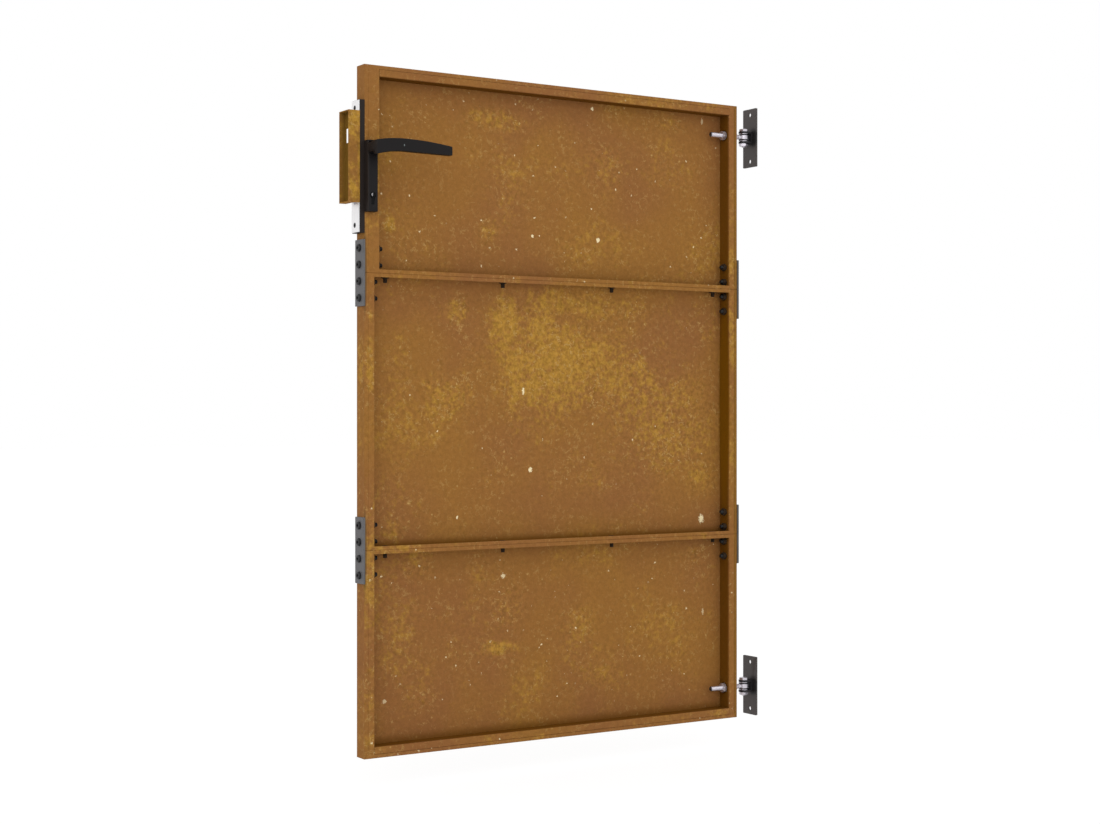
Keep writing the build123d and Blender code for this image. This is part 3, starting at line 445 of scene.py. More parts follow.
@dataclass(frozen=True)
class Recess:
    """One section of the leaf and the open recess in it, whose sides carry painted shade.

    Painted shade darkens the panel at its foot and near its edges, and painted light makes it paler at its
    head. The spans are distances over which one face gives way to the next: below the section's outside,
    behind the front of the leaf, and from the plane of the panel's inner face.
    """

    foot: float
    head: float
    foot_rail: float
    head_rail: float
    lock_inside: float
    # Strengths of the painted shade at the panel's foot and of the painted light at its head.
    foot_shade: float
    head_light: float
    # Strengths of the painted shade on the sides of the recess and near the panel's edges.
    side_strength: float = 0.92
    edge_strength: float = 0.03
    edge_width: float = 20.0
    foot_width: float = 18.0
    head_width: float = 42.0
    below_outside: Span = (0.6, 1.4)
    behind_front: Span = (0.4, 7.0)
    before_panel: Span = (-0.9, -0.2)
    into_panel: Span = (0.4, 1.2)

    @property
    def low_z(self) -> float:
        """Foot of the panel."""
        return self.foot + self.foot_rail

    @property
    def high_z(self) -> float:
        """Head of the panel."""
        return self.head - self.head_rail

    def _past(self, graph: SurfaceGraph, plane: float, span: Span, start: float, end: float) -> Socket:
        """Gives a change from start to end over a span of depths from a plane."""
        return graph.between(graph.axes()[1], plane + span[0], plane + span[1], start, end)

    def _on_panel(self, graph: SurfaceGraph) -> Socket:
        """Gives 1 on the inner face of the panel."""
        return graph.times(self._past(graph, GATE.panel, self.before_panel, 0.0, 1.0),
                           self._past(graph, GATE.panel, self.into_panel, 1.0, 0.0))

    def light(self, graph: SurfaceGraph) -> Socket:
        """Gives the painted light that makes the panel paler at its head, as a factor on its colour."""
        head = graph.between(
            graph.axes()[2], self.high_z - self.head_width, self.high_z, 0.0, self.head_light)
        return graph.plus(1.0, graph.times(head, self._on_panel(graph)))

    def painted_shade(self, graph: SurfaceGraph) -> Socket:
        """Gives the painted shade on each face of the section.

        Args:
            graph: Graph of the material.

        Returns:
            The output, up to 1 on the sides of the recess.
        """
        x, _, z = graph.axes()
        outline = graph.inset(x, z, GATE.lock_edge, GATE.hinge_edge, self.foot, self.head)
        sides = graph.times(
            graph.between(outline, *self.below_outside),
            self._past(graph, GATE.front, self.behind_front, 0.0, self.side_strength),
            self._past(graph, GATE.panel, self.before_panel, 1.0, 0.0))
        opening = graph.inset(x, z, self.lock_inside, GATE.hinge_inside, self.low_z, self.high_z)
        edge = graph.between(opening, 0.0, self.edge_width, self.edge_strength, 0.0)
        foot = graph.between(z, self.low_z, self.low_z + self.foot_width, self.foot_shade, 0.0)
        return graph.most(sides, graph.times(self._on_panel(graph), graph.most(edge, foot)))


@dataclass(frozen=True)
class Pocket:
    """Inside of the keeper, with painted shade that grows darker towards its web."""

    free_edge: float = -933.0
    web_inside: float = -922.0
    front: float = -17.0
    back: float = 17.0
    low_z: float = 942.0
    high_z: float = 1103.0
    wall_reach: float = 0.8
    below_wall: Span = (0.2, 0.6)
    into_web: Span = (0.3, 0.9)
    free_strength: float = 0.45
    web_strength: float = 0.97

    def painted_shade(self, graph: SurfaceGraph) -> Socket:
        """Gives the painted shade on each face of the keeper.

        Args:
            graph: Graph of the material.

        Returns:
            The output, up to 1 far inside.
        """
        x, y, z = graph.axes()
        walls = graph.inset(
            y, z, self.front - self.wall_reach, self.back + self.wall_reach,
            self.low_z - self.wall_reach, self.high_z + self.wall_reach)
        start, end = (self.web_inside + depth for depth in self.into_web)
        return graph.times(
            graph.between(walls, *self.below_wall), graph.between(x, start, end, 1.0, 0.0),
            graph.between(x, self.free_edge, self.web_inside, self.free_strength, self.web_strength))


@dataclass(frozen=True)
class RustFinish:
    """Rust patina of weathering steel: brown ground, ochre bloom and specks, with painted shade on the sides
    of a recess or pocket and painted light at the head of a panel.

    The bloom covers different shares of the inside of the leaf, of its back and of the rim round its front.
    """

    name: str
    ground: Colour = (0.2805, 0.1262, 0.0295)
    brown: Colour = (0.2555, 0.1078, 0.0340)
    bloom: Colour = (0.395, 0.212, 0.0350)
    tan: Colour = (0.500, 0.310, 0.1050)
    pore: Colour = (0.205, 0.095, 0.0120)
    # Colour that the painted shade mixes towards.
    shade_colour: Colour = (0.124, 0.0455, 0.0010)
    cream: Colour = (0.84, 0.70, 0.42)
    coverage: float = 0.40
    back_coverage: float = 0.60
    rim_coverage: float = 0.60
    speckled: float = 0.30
    patches: tuple[Patch, ...] = ()
    specks: tuple[Patch, ...] = ()
    marks_and_painted_light: tuple[MarkOrPaintedLight, ...] = ()
    place: Union[Recess, Pocket, None] = None
    back_from: Span = (15.4, 16.6)
    rim_to: Span = (-15.5, -14.0)
    clouds: Cloud = Cloud(6.5, 9.0, 0.66, 3.7)
    mottle: Cloud = Cloud(75.0, 6.0, 0.66)
    broad_wander: Cloud = Cloud(4.5, 9.0, 0.70, 8.1)
    ragged_wander: Cloud = Cloud(19.0, 6.0, 0.72, 4.4)
    strands: Cloud = Cloud(62.0, 4.0, 0.60, 6.6)
    strand_breaks: Cloud = Cloud(110.0, 4.0, 0.60, 9.3)
    fleck_clumps: Cloud = Cloud(12.0, 5.0, 0.66, 7.1)
    speck_outline: Cloud = Cloud(330.0, 3.0, 0.60, 5.5)
    speck_clusters: Cloud = Cloud(6.5, 3.0, shift=5.1)
    tone: Cloud = Cloud(3.1, 2.0)
    pores: Cloud = Cloud(105.0, 4.0, 0.60, 1.9)
    unevenness: Cloud = Cloud(125.0, 4.0, 0.62, 2.2)
    grain: Cloud = Cloud(640.0, 2.0, 0.50)
    specular: float = 0.06
    relief_depth: float = 0.0003
    relief_strength: float = 0.30

    def _front(self, graph: SurfaceGraph) -> Socket:
        """Gives 1 on the inside of the gate and 0 on the back of its panels."""
        return graph.between(graph.axes()[1], *self.back_from, 1.0, 0.0)

    def _zone(self, graph: SurfaceGraph, patches: Sequence[Patch], wander: Socket, soft: float) -> Socket:
        """Gives where the placed patches lie, all on the inside of the gate.

        Args:
            graph: Graph of the material.
            patches: The patches.
            wander: Noise that makes the outlines uneven.
            soft: Share of a patch's radius over which it fades.

        Returns:
            The output, up to 1 inside a patch.
        """
        zone: Feed = 0.0
        for patch in patches:
            half = (patch.half_width, math.inf, patch.half_height)
            reach = graph.plus(graph.reach((patch.x, 0.0, patch.z), half), wander)
            zone = graph.most(zone, graph.ramp(reach, 1.0 - soft, 1.0 + soft / 2, patch.strength, 0.0))
        return graph.times(zone, self._front(graph))

    def _bloom(self, graph: SurfaceGraph) -> tuple[Socket, Socket]:
        """Gives the ochre bloom: clouds that break up into fine mottling.

        Args:
            graph: Graph of the material.

        Returns:
            How dense the bloom is around each point, and where it lies.
        """
        cloud = graph.noise(self.clouds)
        wander = graph.plus(graph.drift(self.broad_wander, 1.1), graph.drift(self.ragged_wander, 1.9))
        share = graph.ramp(self._front(graph), 0.0, 1.0, self.back_coverage, self.coverage)
        rim = graph.between(graph.axes()[1], *self.rim_to, self.rim_coverage, 0.0)
        wild = graph.times(graph.ramp(cloud, 0.40, 0.66), graph.most(share, rim))
        placed = graph.least(self._zone(graph, self.patches, wander, 0.95), 1.0)
        density = graph.most(placed, wild)
        threshold = graph.ramp(density, 0.0, 1.0, 0.62, 0.45)
        texture = graph.plus(graph.times(graph.noise(self.mottle), 0.65), graph.times(cloud, 0.35))
        patchy = graph.ramp(texture, graph.minus(threshold, 0.07), graph.plus(threshold, 0.09))
        return density, graph.times(patchy, graph.ramp(density, 0.0, 0.8, 0.35, 0.80))

    def _flecks(self, graph: SurfaceGraph, density: Socket) -> Socket:
        """Gives the tan flecks: clumps of short curled strands and small dots.

        Args:
            graph: Graph of the material.
            density: How dense the bloom is.

        Returns:
            The output, up to 1 in a fleck.
        """
        bend = graph.math("ABSOLUTE", graph.drift(self.strands, 1.0), 0.0)
        strands = graph.times(
            graph.ramp(bend, 0.0, 0.040, 1.0, 0.0), graph.clouded(self.strand_breaks, 0.47, 0.59),
            graph.ramp(density, 0.0, 0.7, 0.38, 0.78))
        dots = graph.times(
            graph.dots(scale=58.0, least=0.06, most=0.16, share=0.36),
            graph.ramp(density, 0.0, 0.6, 0.66, 0.90))
        clumps = graph.clouded(self.fleck_clumps, 0.40, 0.60, 0.25, 1.0)
        return graph.times(graph.most(strands, dots), clumps)

    def _specks(self, graph: SurfaceGraph) -> Socket:
        """Gives the cream specks: small ones in clusters, and the placed ones.

        Args:
            graph: Graph of the material.

        Returns:
            The output, up to 1 in a speck.
        """
        small = graph.times(
            graph.dots(scale=52.0, least=0.045, most=0.105, share=self.speckled),
            graph.clouded(self.speck_clusters, 0.43, 0.54, 0.0, 0.85))
        return graph.most(small, self._zone(graph, self.specks, graph.drift(self.speck_outline, 2.6), 0.3))

    def make(self) -> bpy.types.Material:
        """Makes the material.

        Returns:
            The finished material.
        """
        graph = SurfaceGraph(self.name)
        grain = graph.noise(self.grain)
        density, bloom = self._bloom(graph)
        colour = graph.mix(graph.clouded(self.tone, 0.36, 0.64), self.ground, self.brown)
        colour = graph.mix(graph.times(density, 0.25), colour, self.bloom)
        colour = graph.mix(bloom, colour, self.bloom)
        pores = graph.times(
            graph.clouded(self.pores, 0.55, 0.72), graph.ramp(density, 0.0, 0.6, 0.22, 0.62))
        colour = graph.mix(pores, colour, self.pore)
        uneven = graph.times(
            graph.clouded(self.unevenness, 0.32, 0.68, -1.0, 1.0), graph.ramp(density, 0.0, 0.7, 0.06, 0.20))
        colour = graph.shade(colour, graph.plus(graph.ramp(grain, 0.25, 0.75, 0.94, 1.06), uneven))
        colour = graph.mix(self._flecks(graph, density), colour, self.tan)
        colour = graph.mix(self._specks(graph), colour, self.cream)
        # Painted light pales the head of each panel, and painted shade darkens the sides of the recess or
        # pocket, the panel's edges and its foot.
        if isinstance(self.place, Recess):
            colour = graph.shade(colour, self.place.light(graph))
        if self.place:
            colour = graph.mix(self.place.painted_shade(graph), colour, self.shade_colour)
        # Soft marks: painted shadows and painted shade, and a paler olive-ochre band on the hinge stile.
        for overlay in self.marks_and_painted_light:
            colour = overlay.over(graph, colour)
        height = graph.plus(graph.times(bloom, 0.5), graph.times(grain, 0.45))
        graph.relief(graph.minus(height, graph.times(pores, 0.5)), self.relief_depth, self.relief_strength)
        return graph.finish(colour, graph.ramp(bloom, 0.0, 1.0, 0.78, 0.92), 0.0, self.specular)


@dataclass(frozen=True)
class MetalFinish:
    """Painted, plated or plain metal with uneven tone, fine grain and scuffs, and soft marks over it, among
    them painted shadows, a painted dark reflection and painted highlights.
    """

    name: str
    colour: Colour
    scuffed: Colour
    roughness: float
    metallic: float = 0.0
    specular: float = 0.5
    unevenness: float = 0.12
    scuffs: float = 0.3
    grain: float = 900.0
    streak: Point = EVEN
    relief_depth: float = 0.00006
    relief_strength: float = 0.25
    marks_and_painted_light: tuple[MarkOrPaintedLight, ...] = ()
    clouds: Cloud = Cloud(38.0, 4.0, 0.60)
    rubs: Cloud = Cloud(150.0, 6.0, 0.72, 2.3)
    gloss_spread: float = 0.06
    scuff_roughness: float = 0.15

    def make(self) -> bpy.types.Material:
        """Makes the material.

        Returns:
            The finished material.
        """
        graph = SurfaceGraph(self.name)
        cloud = graph.noise(self.clouds)
        grain = graph.noise(Cloud(self.grain, 2.0, 0.50, stretch=self.streak))
        tone = graph.times(
            graph.ramp(cloud, 0.28, 0.72, 1.0 - self.unevenness, 1.0 + self.unevenness),
            graph.ramp(grain, 0.2, 0.8, 0.94, 1.06))
        worn = graph.times(graph.clouded(self.rubs, 0.58, 0.74), self.scuffs)
        colour = graph.mix(worn, graph.shade(self.colour, tone), self.scuffed)
        # Soft marks, among them painted shadows, a painted dark reflection and painted highlights.
        for overlay in self.marks_and_painted_light:
            colour = overlay.over(graph, colour)
        spread = graph.ramp(
            cloud, 0.3, 0.7, self.roughness - self.gloss_spread, self.roughness + self.gloss_spread)
        roughness = graph.plus(spread, graph.times(worn, self.scuff_roughness))
        graph.relief(graph.minus(grain, worn), self.relief_depth, self.relief_strength)
        return graph.finish(colour, roughness, self.metallic, self.specular)


@dataclass(frozen=True)
class Look:
    """Body that a piece rides on, slot of the record that its finish comes from, and its material."""

    body: Body
    slot: str
    finish: bpy.types.Material


class Finishes:
    """Finishes of the record's slots, and of pieces that look different from their slot, made once each."""

    METALS: dict[str, MetalFinish] = {
        "grey_plate": MetalFinish(
            "grey_plate_paint", (0.108, 0.104, 0.107), (0.19, 0.18, 0.18), 0.58, specular=0.4, scuffs=0.25),
        "black_fastener": MetalFinish(
            "black_oxide", (0.0065, 0.0060, 0.0065), (0.05, 0.048, 0.047), 0.42, specular=0.18, scuffs=0.18),
        "button_head": MetalFinish(
            "black_button_head", (0.010, 0.0094, 0.010), (0.06, 0.057, 0.056), 0.48, specular=0.30,
            scuffs=0.2),
        "dusted_fastener": MetalFinish(
            "dusted_black_oxide", (0.034, 0.021, 0.012), (0.09, 0.058, 0.034), 0.62, specular=0.12,
            scuffs=0.25),
        "black_lock": MetalFinish(
            "black_powder_coat", (0.0095, 0.0082, 0.0084), (0.05, 0.046, 0.045), 0.48, specular=0.14,
            unevenness=0.08, scuffs=0.10, grain=1500.0, relief_depth=0.00008, relief_strength=0.3,
            # A small pale speck on the inside lever, and a lighter, warmer band over the lock spacer and the
            # side face of the handle plate beside it.
            marks_and_painted_light=(MarkOrPaintedLight((-847.0, -69.0, 1041.5), (1.2, 3.0, 2.4), (0.24, 0.28, 0.28), 0.7),
                    MarkOrPaintedLight((-906.0, 0.0, 1000.0), (10.0, 80.0, ENDLESS), (0.0200, 0.0145, 0.0125)))),
        "bright_plate": MetalFinish(
            "bright_zinc_plate", (0.85, 0.84, 0.845), (0.66, 0.65, 0.64), 0.38, metallic=1.0,
            unevenness=0.03, scuffs=0.15, grain=700.0, streak=(1.0, 1.0, 0.06)),
        "bright_fastener": MetalFinish(
            "bright_zinc_fastener", (0.60, 0.57, 0.62), (0.44, 0.42, 0.43), 0.36, metallic=0.8,
            unevenness=0.06, scuffs=0.2,
            # Painted dark reflection on the tip of each eye-bolt stud.
            marks_and_painted_light=tuple(MarkOrPaintedLight((GATE.stud_end, 0.0, height), (2.6, 9.0, 9.0), (0.02, 0.018, 0.02), 0.9)
                         for height in GATE.hinges)),
        "dark_plate": MetalFinish(
            "dark_wall_plate", (0.054, 0.045, 0.042), (0.14, 0.12, 0.10), 0.50, specular=0.4, scuffs=0.25,
            # Painted shadow of each hinge bracket on its wall plate.
            marks_and_painted_light=tuple(MarkOrPaintedLight((-4.0, -12.0, height), (10.0, 18.0, 24.0), (0.006, 0.006, 0.006), 0.9)
                         for height in GATE.hinges)),
        "black_bracket": MetalFinish(
            "black_bracket_paint", (0.015, 0.014, 0.015), (0.07, 0.066, 0.064), 0.45, specular=0.25,
            scuffs=0.2),
        "nylon": MetalFinish(
            "black_nylon", (0.010, 0.010, 0.010), (0.03, 0.03, 0.03), 0.55, specular=0.2, scuffs=0.1),
        "lock_steel": MetalFinish(
            "plain_lock_steel", (0.45, 0.45, 0.46), (0.30, 0.29, 0.28), 0.36, metallic=1.0,
            streak=(0.1, 1.0, 1.0)),
        "cylinder_metal": MetalFinish(
            "dark_nickel", (0.0025, 0.0024, 0.0025), (0.03, 0.03, 0.03), 0.36, specular=0.12, scuffs=0.12,
            # Painted highlight on the upper left of each cylinder plug.
            marks_and_painted_light=tuple(MarkOrPaintedLight((-893.0, side * 33.5, 954.5), (2.4, 2.0, 4.2), (0.28, 0.275, 0.28))
                         for side in (-1.0, 1.0))),
    }

    def __init__(self) -> None:
        """Starts with nothing made."""
        self._made: dict[str, bpy.types.Material] = {}

    def metal(self, slot: str) -> bpy.types.Material:
        """Gives the finish of a metal slot, or of pieces that look different from theirs.

        Args:
            slot: Name of the slot in the record, or of the pieces.

        Returns:
            The material.
        """
        if slot not in self._made:
            self._made[slot] = self.METALS[slot].make()
            LOG.info("finish %s for %s", self._made[slot].name, slot)
        return self._made[slot]

    def look(self, body: Body, slot: str, finish: str = "") -> Look:
        """Gives the look of a metal piece, whose finish may be another than its slot's."""
        return Look(body, slot, self.metal(finish or slot))


# Meshes


@dataclass(frozen=True)
class Thread:
    """Screw thread at the end of a bolt: its length from the tip, run-out, plain tip and chamfer."""

    pitch: float
    groove: float
    run_out: float
    tip: float
    chamfer: float
    length: float = 0.0


@dataclass
class RingLoft:
    """Closed skin through rings that have the same number of points."""

    sides: int = 48
    rings: list[list[Vector]] = field(default_factory=list)
    thread_steps: int = 6

    def ring(self, height: Profile, radius: Profile) -> "RingLoft":
        """Adds a ring around the local Z axis.

        Args:
            height: Height in millimetres, or a function of the angle.
            radius: Radius in millimetres, or a function of the angle.

        Returns:
            This loft.
        """
        points = []
        for step in range(self.sides):
            angle = FULL_TURN * step / self.sides
            reach = radius(angle) if callable(radius) else radius
            level = height(angle) if callable(height) else height
            points.append(Vector((reach * math.cos(angle), reach * math.sin(angle), level)) * MM)
        self.rings.append(points)
        return self

    def threaded(self, start: float, end: float, radius: float, thread: Thread) -> "RingLoft":
        """Adds the rings of a screw thread, which fades out at its start.

        Args:
            start: Height where the thread fades out.
            end: Height of the thread's free end.
            radius: Outer radius.
            thread: The thread.

        Returns:
            This loft.
        """
        steps = max(2, round(abs(end - start) / thread.pitch * self.thread_steps))
        for step in range(steps + 1):
            level = start + (end - start) * step / steps
            cut = thread.groove * min(1.0, abs(level - start) / thread.run_out)
            turns = level / thread.pitch
            self.ring(level, lambda angle, c=cut, t=turns: radius - c * wave(t - angle / FULL_TURN))
        return self

    def shank(self, length: float, radius: float, thread: Thread) -> "RingLoft":
        """Adds a bolt's shank, from its tip up to the origin.

        Args:
            length: Length of the shank.
            radius: Its radius.
            thread: Thread at its tip.

        Returns:
            This loft.
        """
        self.ring(-length, radius - thread.chamfer)
        cut = RingLoft(self.sides).threaded(-length + thread.length, -length + thread.tip, radius, thread)
        self.rings += reversed(cut.rings)
        return self.ring(0.0, radius)

    def bead(self, centre_r: float, centre_z: float, radius: float, start: float, end: float,
             steps: int = 4) -> "RingLoft":
        """Adds the rings of a rounded edge.

        Args:
            centre_r: Radius of the arc's centre.
            centre_z: Height of the arc's centre.
            radius: Radius of the arc.
            start: Angle of the first ring, in degrees up from outward.
            end: Angle of the last ring.
            steps: Number of steps.

        Returns:
            This loft.
        """
        for step in range(steps + 1):
            angle = math.radians(start + (end - start) * step / steps)
            self.ring(centre_z + radius * math.sin(angle), centre_r + radius * math.cos(angle))
        return self

    def bored(self, low: float, high: float, bore: float, chamfer: float) -> "RingLoft":
        """Adds a chamfered bore, from its upper end down.

        Args:
            low: Height of the bore's lower end.
            high: Height of its upper end.
            bore: Its radius.
            chamfer: Size of the chamfer at both ends.

        Returns:
            This loft.
        """
        self.ring(high, bore + chamfer).ring(high - chamfer, bore)
        return self.ring(low + chamfer, bore).ring(low, bore + chamfer)

    def mesh(self, name: str, endless: bool = False) -> bpy.types.Mesh:
        """Skins the rings.

        Args:
            name: Name of the mesh.
            endless: Whether the last ring joins the first, in place of two caps.

        Returns:
            The new mesh.
        """
        skin = bmesh.new()
        rows = [[skin.verts.new(point) for point in ring] for ring in self.rings]
        for low, high in zip(rows, rows[1:] + rows[:1] if endless else rows[1:]):
            for step in range(self.sides):
                after = (step + 1) % self.sides
                skin.faces.new((low[step], low[after], high[after], high[step]))
        if not endless:
            skin.faces.new(rows[0])
            skin.faces.new(rows[-1])
        bmesh.ops.recalc_face_normals(skin, faces=skin.faces)
        return finished_mesh(skin, name)


def wave(turns: float) -> float:
    """Gives a triangular wave between 0 and 1."""
    return abs(2.0 * (turns % 1.0) - 1.0)


def hexagon(flats: float) -> Callable[[float], float]:
    """Gives the radius of a hexagon by its angle, from its size across the flats."""
    return lambda angle: flats / 2 / math.cos((angle + math.pi / 6) % (math.pi / 3) - math.pi / 6)


def finished_mesh(skin: bmesh.types.BMesh, name: str) -> bpy.types.Mesh:
    """Turns an edit mesh into a mesh with smooth curves and crisp edges.

    Args:
        skin: Edit mesh, which is freed.
        name: Name of the mesh.

    Returns:
        The new mesh.
    """
    mesh = bpy.data.meshes.new(name)
    skin.to_mesh(mesh)
    skin.free()
    mesh.polygons.foreach_set("use_smooth", [True] * len(mesh.polygons))
    mesh.set_sharp_from_angle(angle=CREASE_ANGLE)
    return mesh


def joined(meshes: Sequence[bpy.types.Mesh]) -> bmesh.types.BMesh:
    """Joins meshes into one edit mesh.

    Args:
        meshes: The meshes, which are removed.

    Returns:
        The edit mesh.
    """
    skin = bmesh.new()
    for mesh in meshes:
        skin.from_mesh(mesh)
        bpy.data.meshes.remove(mesh)
    return skin


def added(mesh: bpy.types.Mesh, name: str) -> bpy.types.Object:
    """Puts a mesh into the scene.

    Args:
        mesh: The mesh.
        name: Name of the object.

    Returns:
        The new object.
    """
    piece = bpy.data.objects.new(name, mesh)
    bpy.context.scene.collection.objects.link(piece)
    return piece


def evaluated_mesh(piece: bpy.types.Object) -> bpy.types.Mesh:
    """Gives a plain mesh of what an object's modifiers make."""
    return bpy.data.meshes.new_from_object(piece.evaluated_get(bpy.context.evaluated_depsgraph_get()))


def declare(piece: bpy.types.Object, look: Look, node: str) -> None:
    """Puts a piece on the body that it rides on, hides the CAD node that it stands for and logs its finish.

    Args:
        piece: The piece.
        look: Its body and finish.
        node: CAD node that it stands for.
    """
    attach(piece, look.body.value)
    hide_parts(node)
    LOG.info("%s: %d faces in %s, for %s", piece.name, len(piece.data.polygons), look.finish.name, node)


def dress(node: str, finish: bpy.types.Material) -> None:
    """Gives a CAD node that stays its material.

    Args:
        node: The node.
        finish: Its material.
    """
    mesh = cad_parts[node].data
    mesh.materials.clear()
    mesh.materials.append(finish)
    LOG.info("%s: dressed in %s", node, finish.name)


def smooth_copy(node: str, look: Look) -> bpy.types.Object:
    """Shows a CAD node by a merged copy, shaded so that flat faces beside a fold stay flat.

    Args:
        node: The node.
        look: Look of the copy.

    Returns:
        The copy.
    """
    skin = bmesh.new()
    skin.from_mesh(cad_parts[node].data)
    bmesh.ops.remove_doubles(skin, verts=skin.verts, dist=MERGE_DISTANCE)
    merged = finished_mesh(skin, "merged")
    piece = added(merged, f"{node}_finish")
    layer = piece.modifiers.new("even_shading", "WEIGHTED_NORMAL")
    layer.keep_sharp = True
    mesh = evaluated_mesh(piece)
    piece.modifiers.remove(layer)
    piece.data = mesh
    bpy.data.meshes.remove(merged)
    mesh.name = piece.name
    mesh.materials.clear()
    mesh.materials.append(look.finish)
    mesh.polygons.foreach_set("material_index", [0] * len(mesh.polygons))
    declare(piece, look, node)
    return piece


# Fasteners set out by Geometry Nodes


@dataclass(frozen=True)
class Row:
    """A straight row of equal fasteners, and the way that their heads point."""

    count: int
    start: Point
    facing: Facing
    step: Point = (0.0, 0.0, 0.0)


class FastenerRows:
    """Geometry Nodes tree that sets out a fastener along a row, each with its own turn."""

    def __init__(self) -> None:
        """Builds the tree and its named inputs."""
        self.tree = bpy.data.node_groups.new("fastener_row", "GeometryNodeTree")
        self.inputs: dict[str, str] = {}
        for name, kind in (
            ("Fastener", "Object"), ("Count", "Int"), ("Start", "Vector"), ("Step", "Vector"),
            ("Facing", "Vector"), ("Most Turn", "Float"), ("Seed", "Int"), ("Finish", "Material"),
        ):
            socket = self.tree.interface.new_socket(
                name=name, in_out="INPUT", socket_type=f"NodeSocket{kind}")
            self.inputs[name] = socket.identifier
        self.tree.interface.new_socket(name="Row", in_out="OUTPUT", socket_type="NodeSocketGeometry")
        self._wire()

    def _wire(self) -> None:
        """Adds and links the nodes of the tree."""
        graph = NodeGraph(self.tree)
        given = graph.add("NodeGroupInput").outputs
        line = graph.add("GeometryNodeMeshLine", {
            "Count": given["Count"], "Start Location": given["Start"], "Offset": given["Step"],
        }, mode="OFFSET")
        source = graph.add("GeometryNodeObjectInfo", {
            "Object": given["Fastener"], "As Instance": True}, transform_space="ORIGINAL")
        chance = graph.add("FunctionNodeRandomValue", {
            3: given["Most Turn"], "Seed": given["Seed"]}, data_type="FLOAT")
        spin = graph.add("FunctionNodeAxisAngleToRotation", {"Angle": chance.outputs[1]})
        facing = graph.add("FunctionNodeEulerToRotation", {0: given["Facing"]})
        turn = graph.add("FunctionNodeRotateRotation", {
            "Rotation": facing.outputs[0], "Rotate By": spin.outputs[0]}, rotation_space="LOCAL")
        place = graph.add("GeometryNodeInstanceOnPoints", {
            "Points": line.outputs[0], "Instance": source.outputs["Geometry"], "Rotation": turn.outputs[0]})
        real = graph.add("GeometryNodeRealizeInstances", {0: place.outputs[0]})
        paint = graph.add("GeometryNodeSetMaterial", {
            "Geometry": real.outputs[0], "Material": given["Finish"]})
        graph.add("NodeGroupOutput", {0: paint.outputs[0]})

    def _row(self, master: bpy.types.Object, row: Row, most_turn: float, seed: int,
             finish: bpy.types.Material) -> bpy.types.Mesh:
        """Sets out one row and makes it a plain mesh.

        Args:
            master: The fastener, pointing up at the origin.
            row: Where the fasteners go.
            most_turn: Largest random turn around their own axis.
            seed: Seed of the random turns.
            finish: Their material.

        Returns:
            The mesh of the row.
        """
        host = added(bpy.data.meshes.new("row_host"), "row_host")
        layer = host.modifiers.new("row", "NODES")
        layer.node_group = self.tree
        values = {
            "Fastener": master, "Count": row.count, "Start": [v * MM for v in row.start],
            "Step": [v * MM for v in row.step], "Facing": list(row.facing.value), "Most Turn": most_turn,
            "Seed": seed, "Finish": finish,
        }
        for name, value in values.items():
            layer[self.inputs[name]] = value
        mesh = evaluated_mesh(host)
        host.modifiers.remove(layer)
        bpy.data.objects.remove(host)
        return mesh

    def piece(self, name: str, master: bpy.types.Mesh, rows: Sequence[Row], look: Look, node: str,
              most_turn: float = FULL_TURN, seed: int = 1) -> None:
        """Makes one piece from rows of a fastener.

        Args:
            name: Name of the piece.
            master: Mesh of the fastener, pointing up at the origin.
            rows: The rows.
            look: Look of the piece.
            node: CAD node that it stands for.
            most_turn: Largest random turn of a fastener.
            seed: Seed of the random turns.
        """
        pattern = added(master, "fastener_master")
        skin = joined([
            self._row(pattern, row, most_turn, seed + index, look.finish) for index, row in enumerate(rows)])
        bpy.data.objects.remove(pattern)
        mesh = bpy.data.meshes.new(name)
        skin.to_mesh(mesh)
        skin.free()
        mesh.materials.append(look.finish)
        declare(added(mesh, name), look, node)


@dataclass
class SocketBolt:
    """Button-head bolt with a hexagon socket, its seat at the origin and its head up."""

    length: float
    radius: float = 4.0
    head_radius: float = 7.0
    head_height: float = 4.4
    head_round: float = 2.6
    head_steps: int = 6
    rim: float = 0.35
    socket_flats: float = 5.0
    socket_depth: float = 2.6
    socket_mouth: float = 0.65
    socket_chamfer: float = 0.35
    socket_cone: float = 0.5
    thread: Thread = Thread(pitch=1.25, groove=0.62, run_out=1.6, tip=0.7, chamfer=0.9, length=9.0)

    def mesh(self, name: str) -> bpy.types.Mesh:
        """Lofts the bolt from its tip to the foot of its socket.

        Args:
            name: Name of the mesh.

        Returns:
            The mesh.
        """
        skin = RingLoft().shank(self.length, self.radius, self.thread)
        skin.ring(0.0, self.head_radius - self.rim).ring(self.rim, self.head_radius)
        round_r, round_z = self.head_radius - self.head_round, self.head_height - self.head_round
        skin.bead(round_r, round_z, self.head_round, 0.0, 90.0, self.head_steps)
        foot = self.head_height - self.socket_depth
        skin.ring(self.head_height, self.socket_flats / 2 + self.socket_mouth)
        skin.ring(self.head_height - self.socket_chamfer, hexagon(self.socket_flats))
        skin.ring(foot, hexagon(self.socket_flats)).ring(foot - self.socket_cone, self.socket_cone)
        return skin.mesh(name)


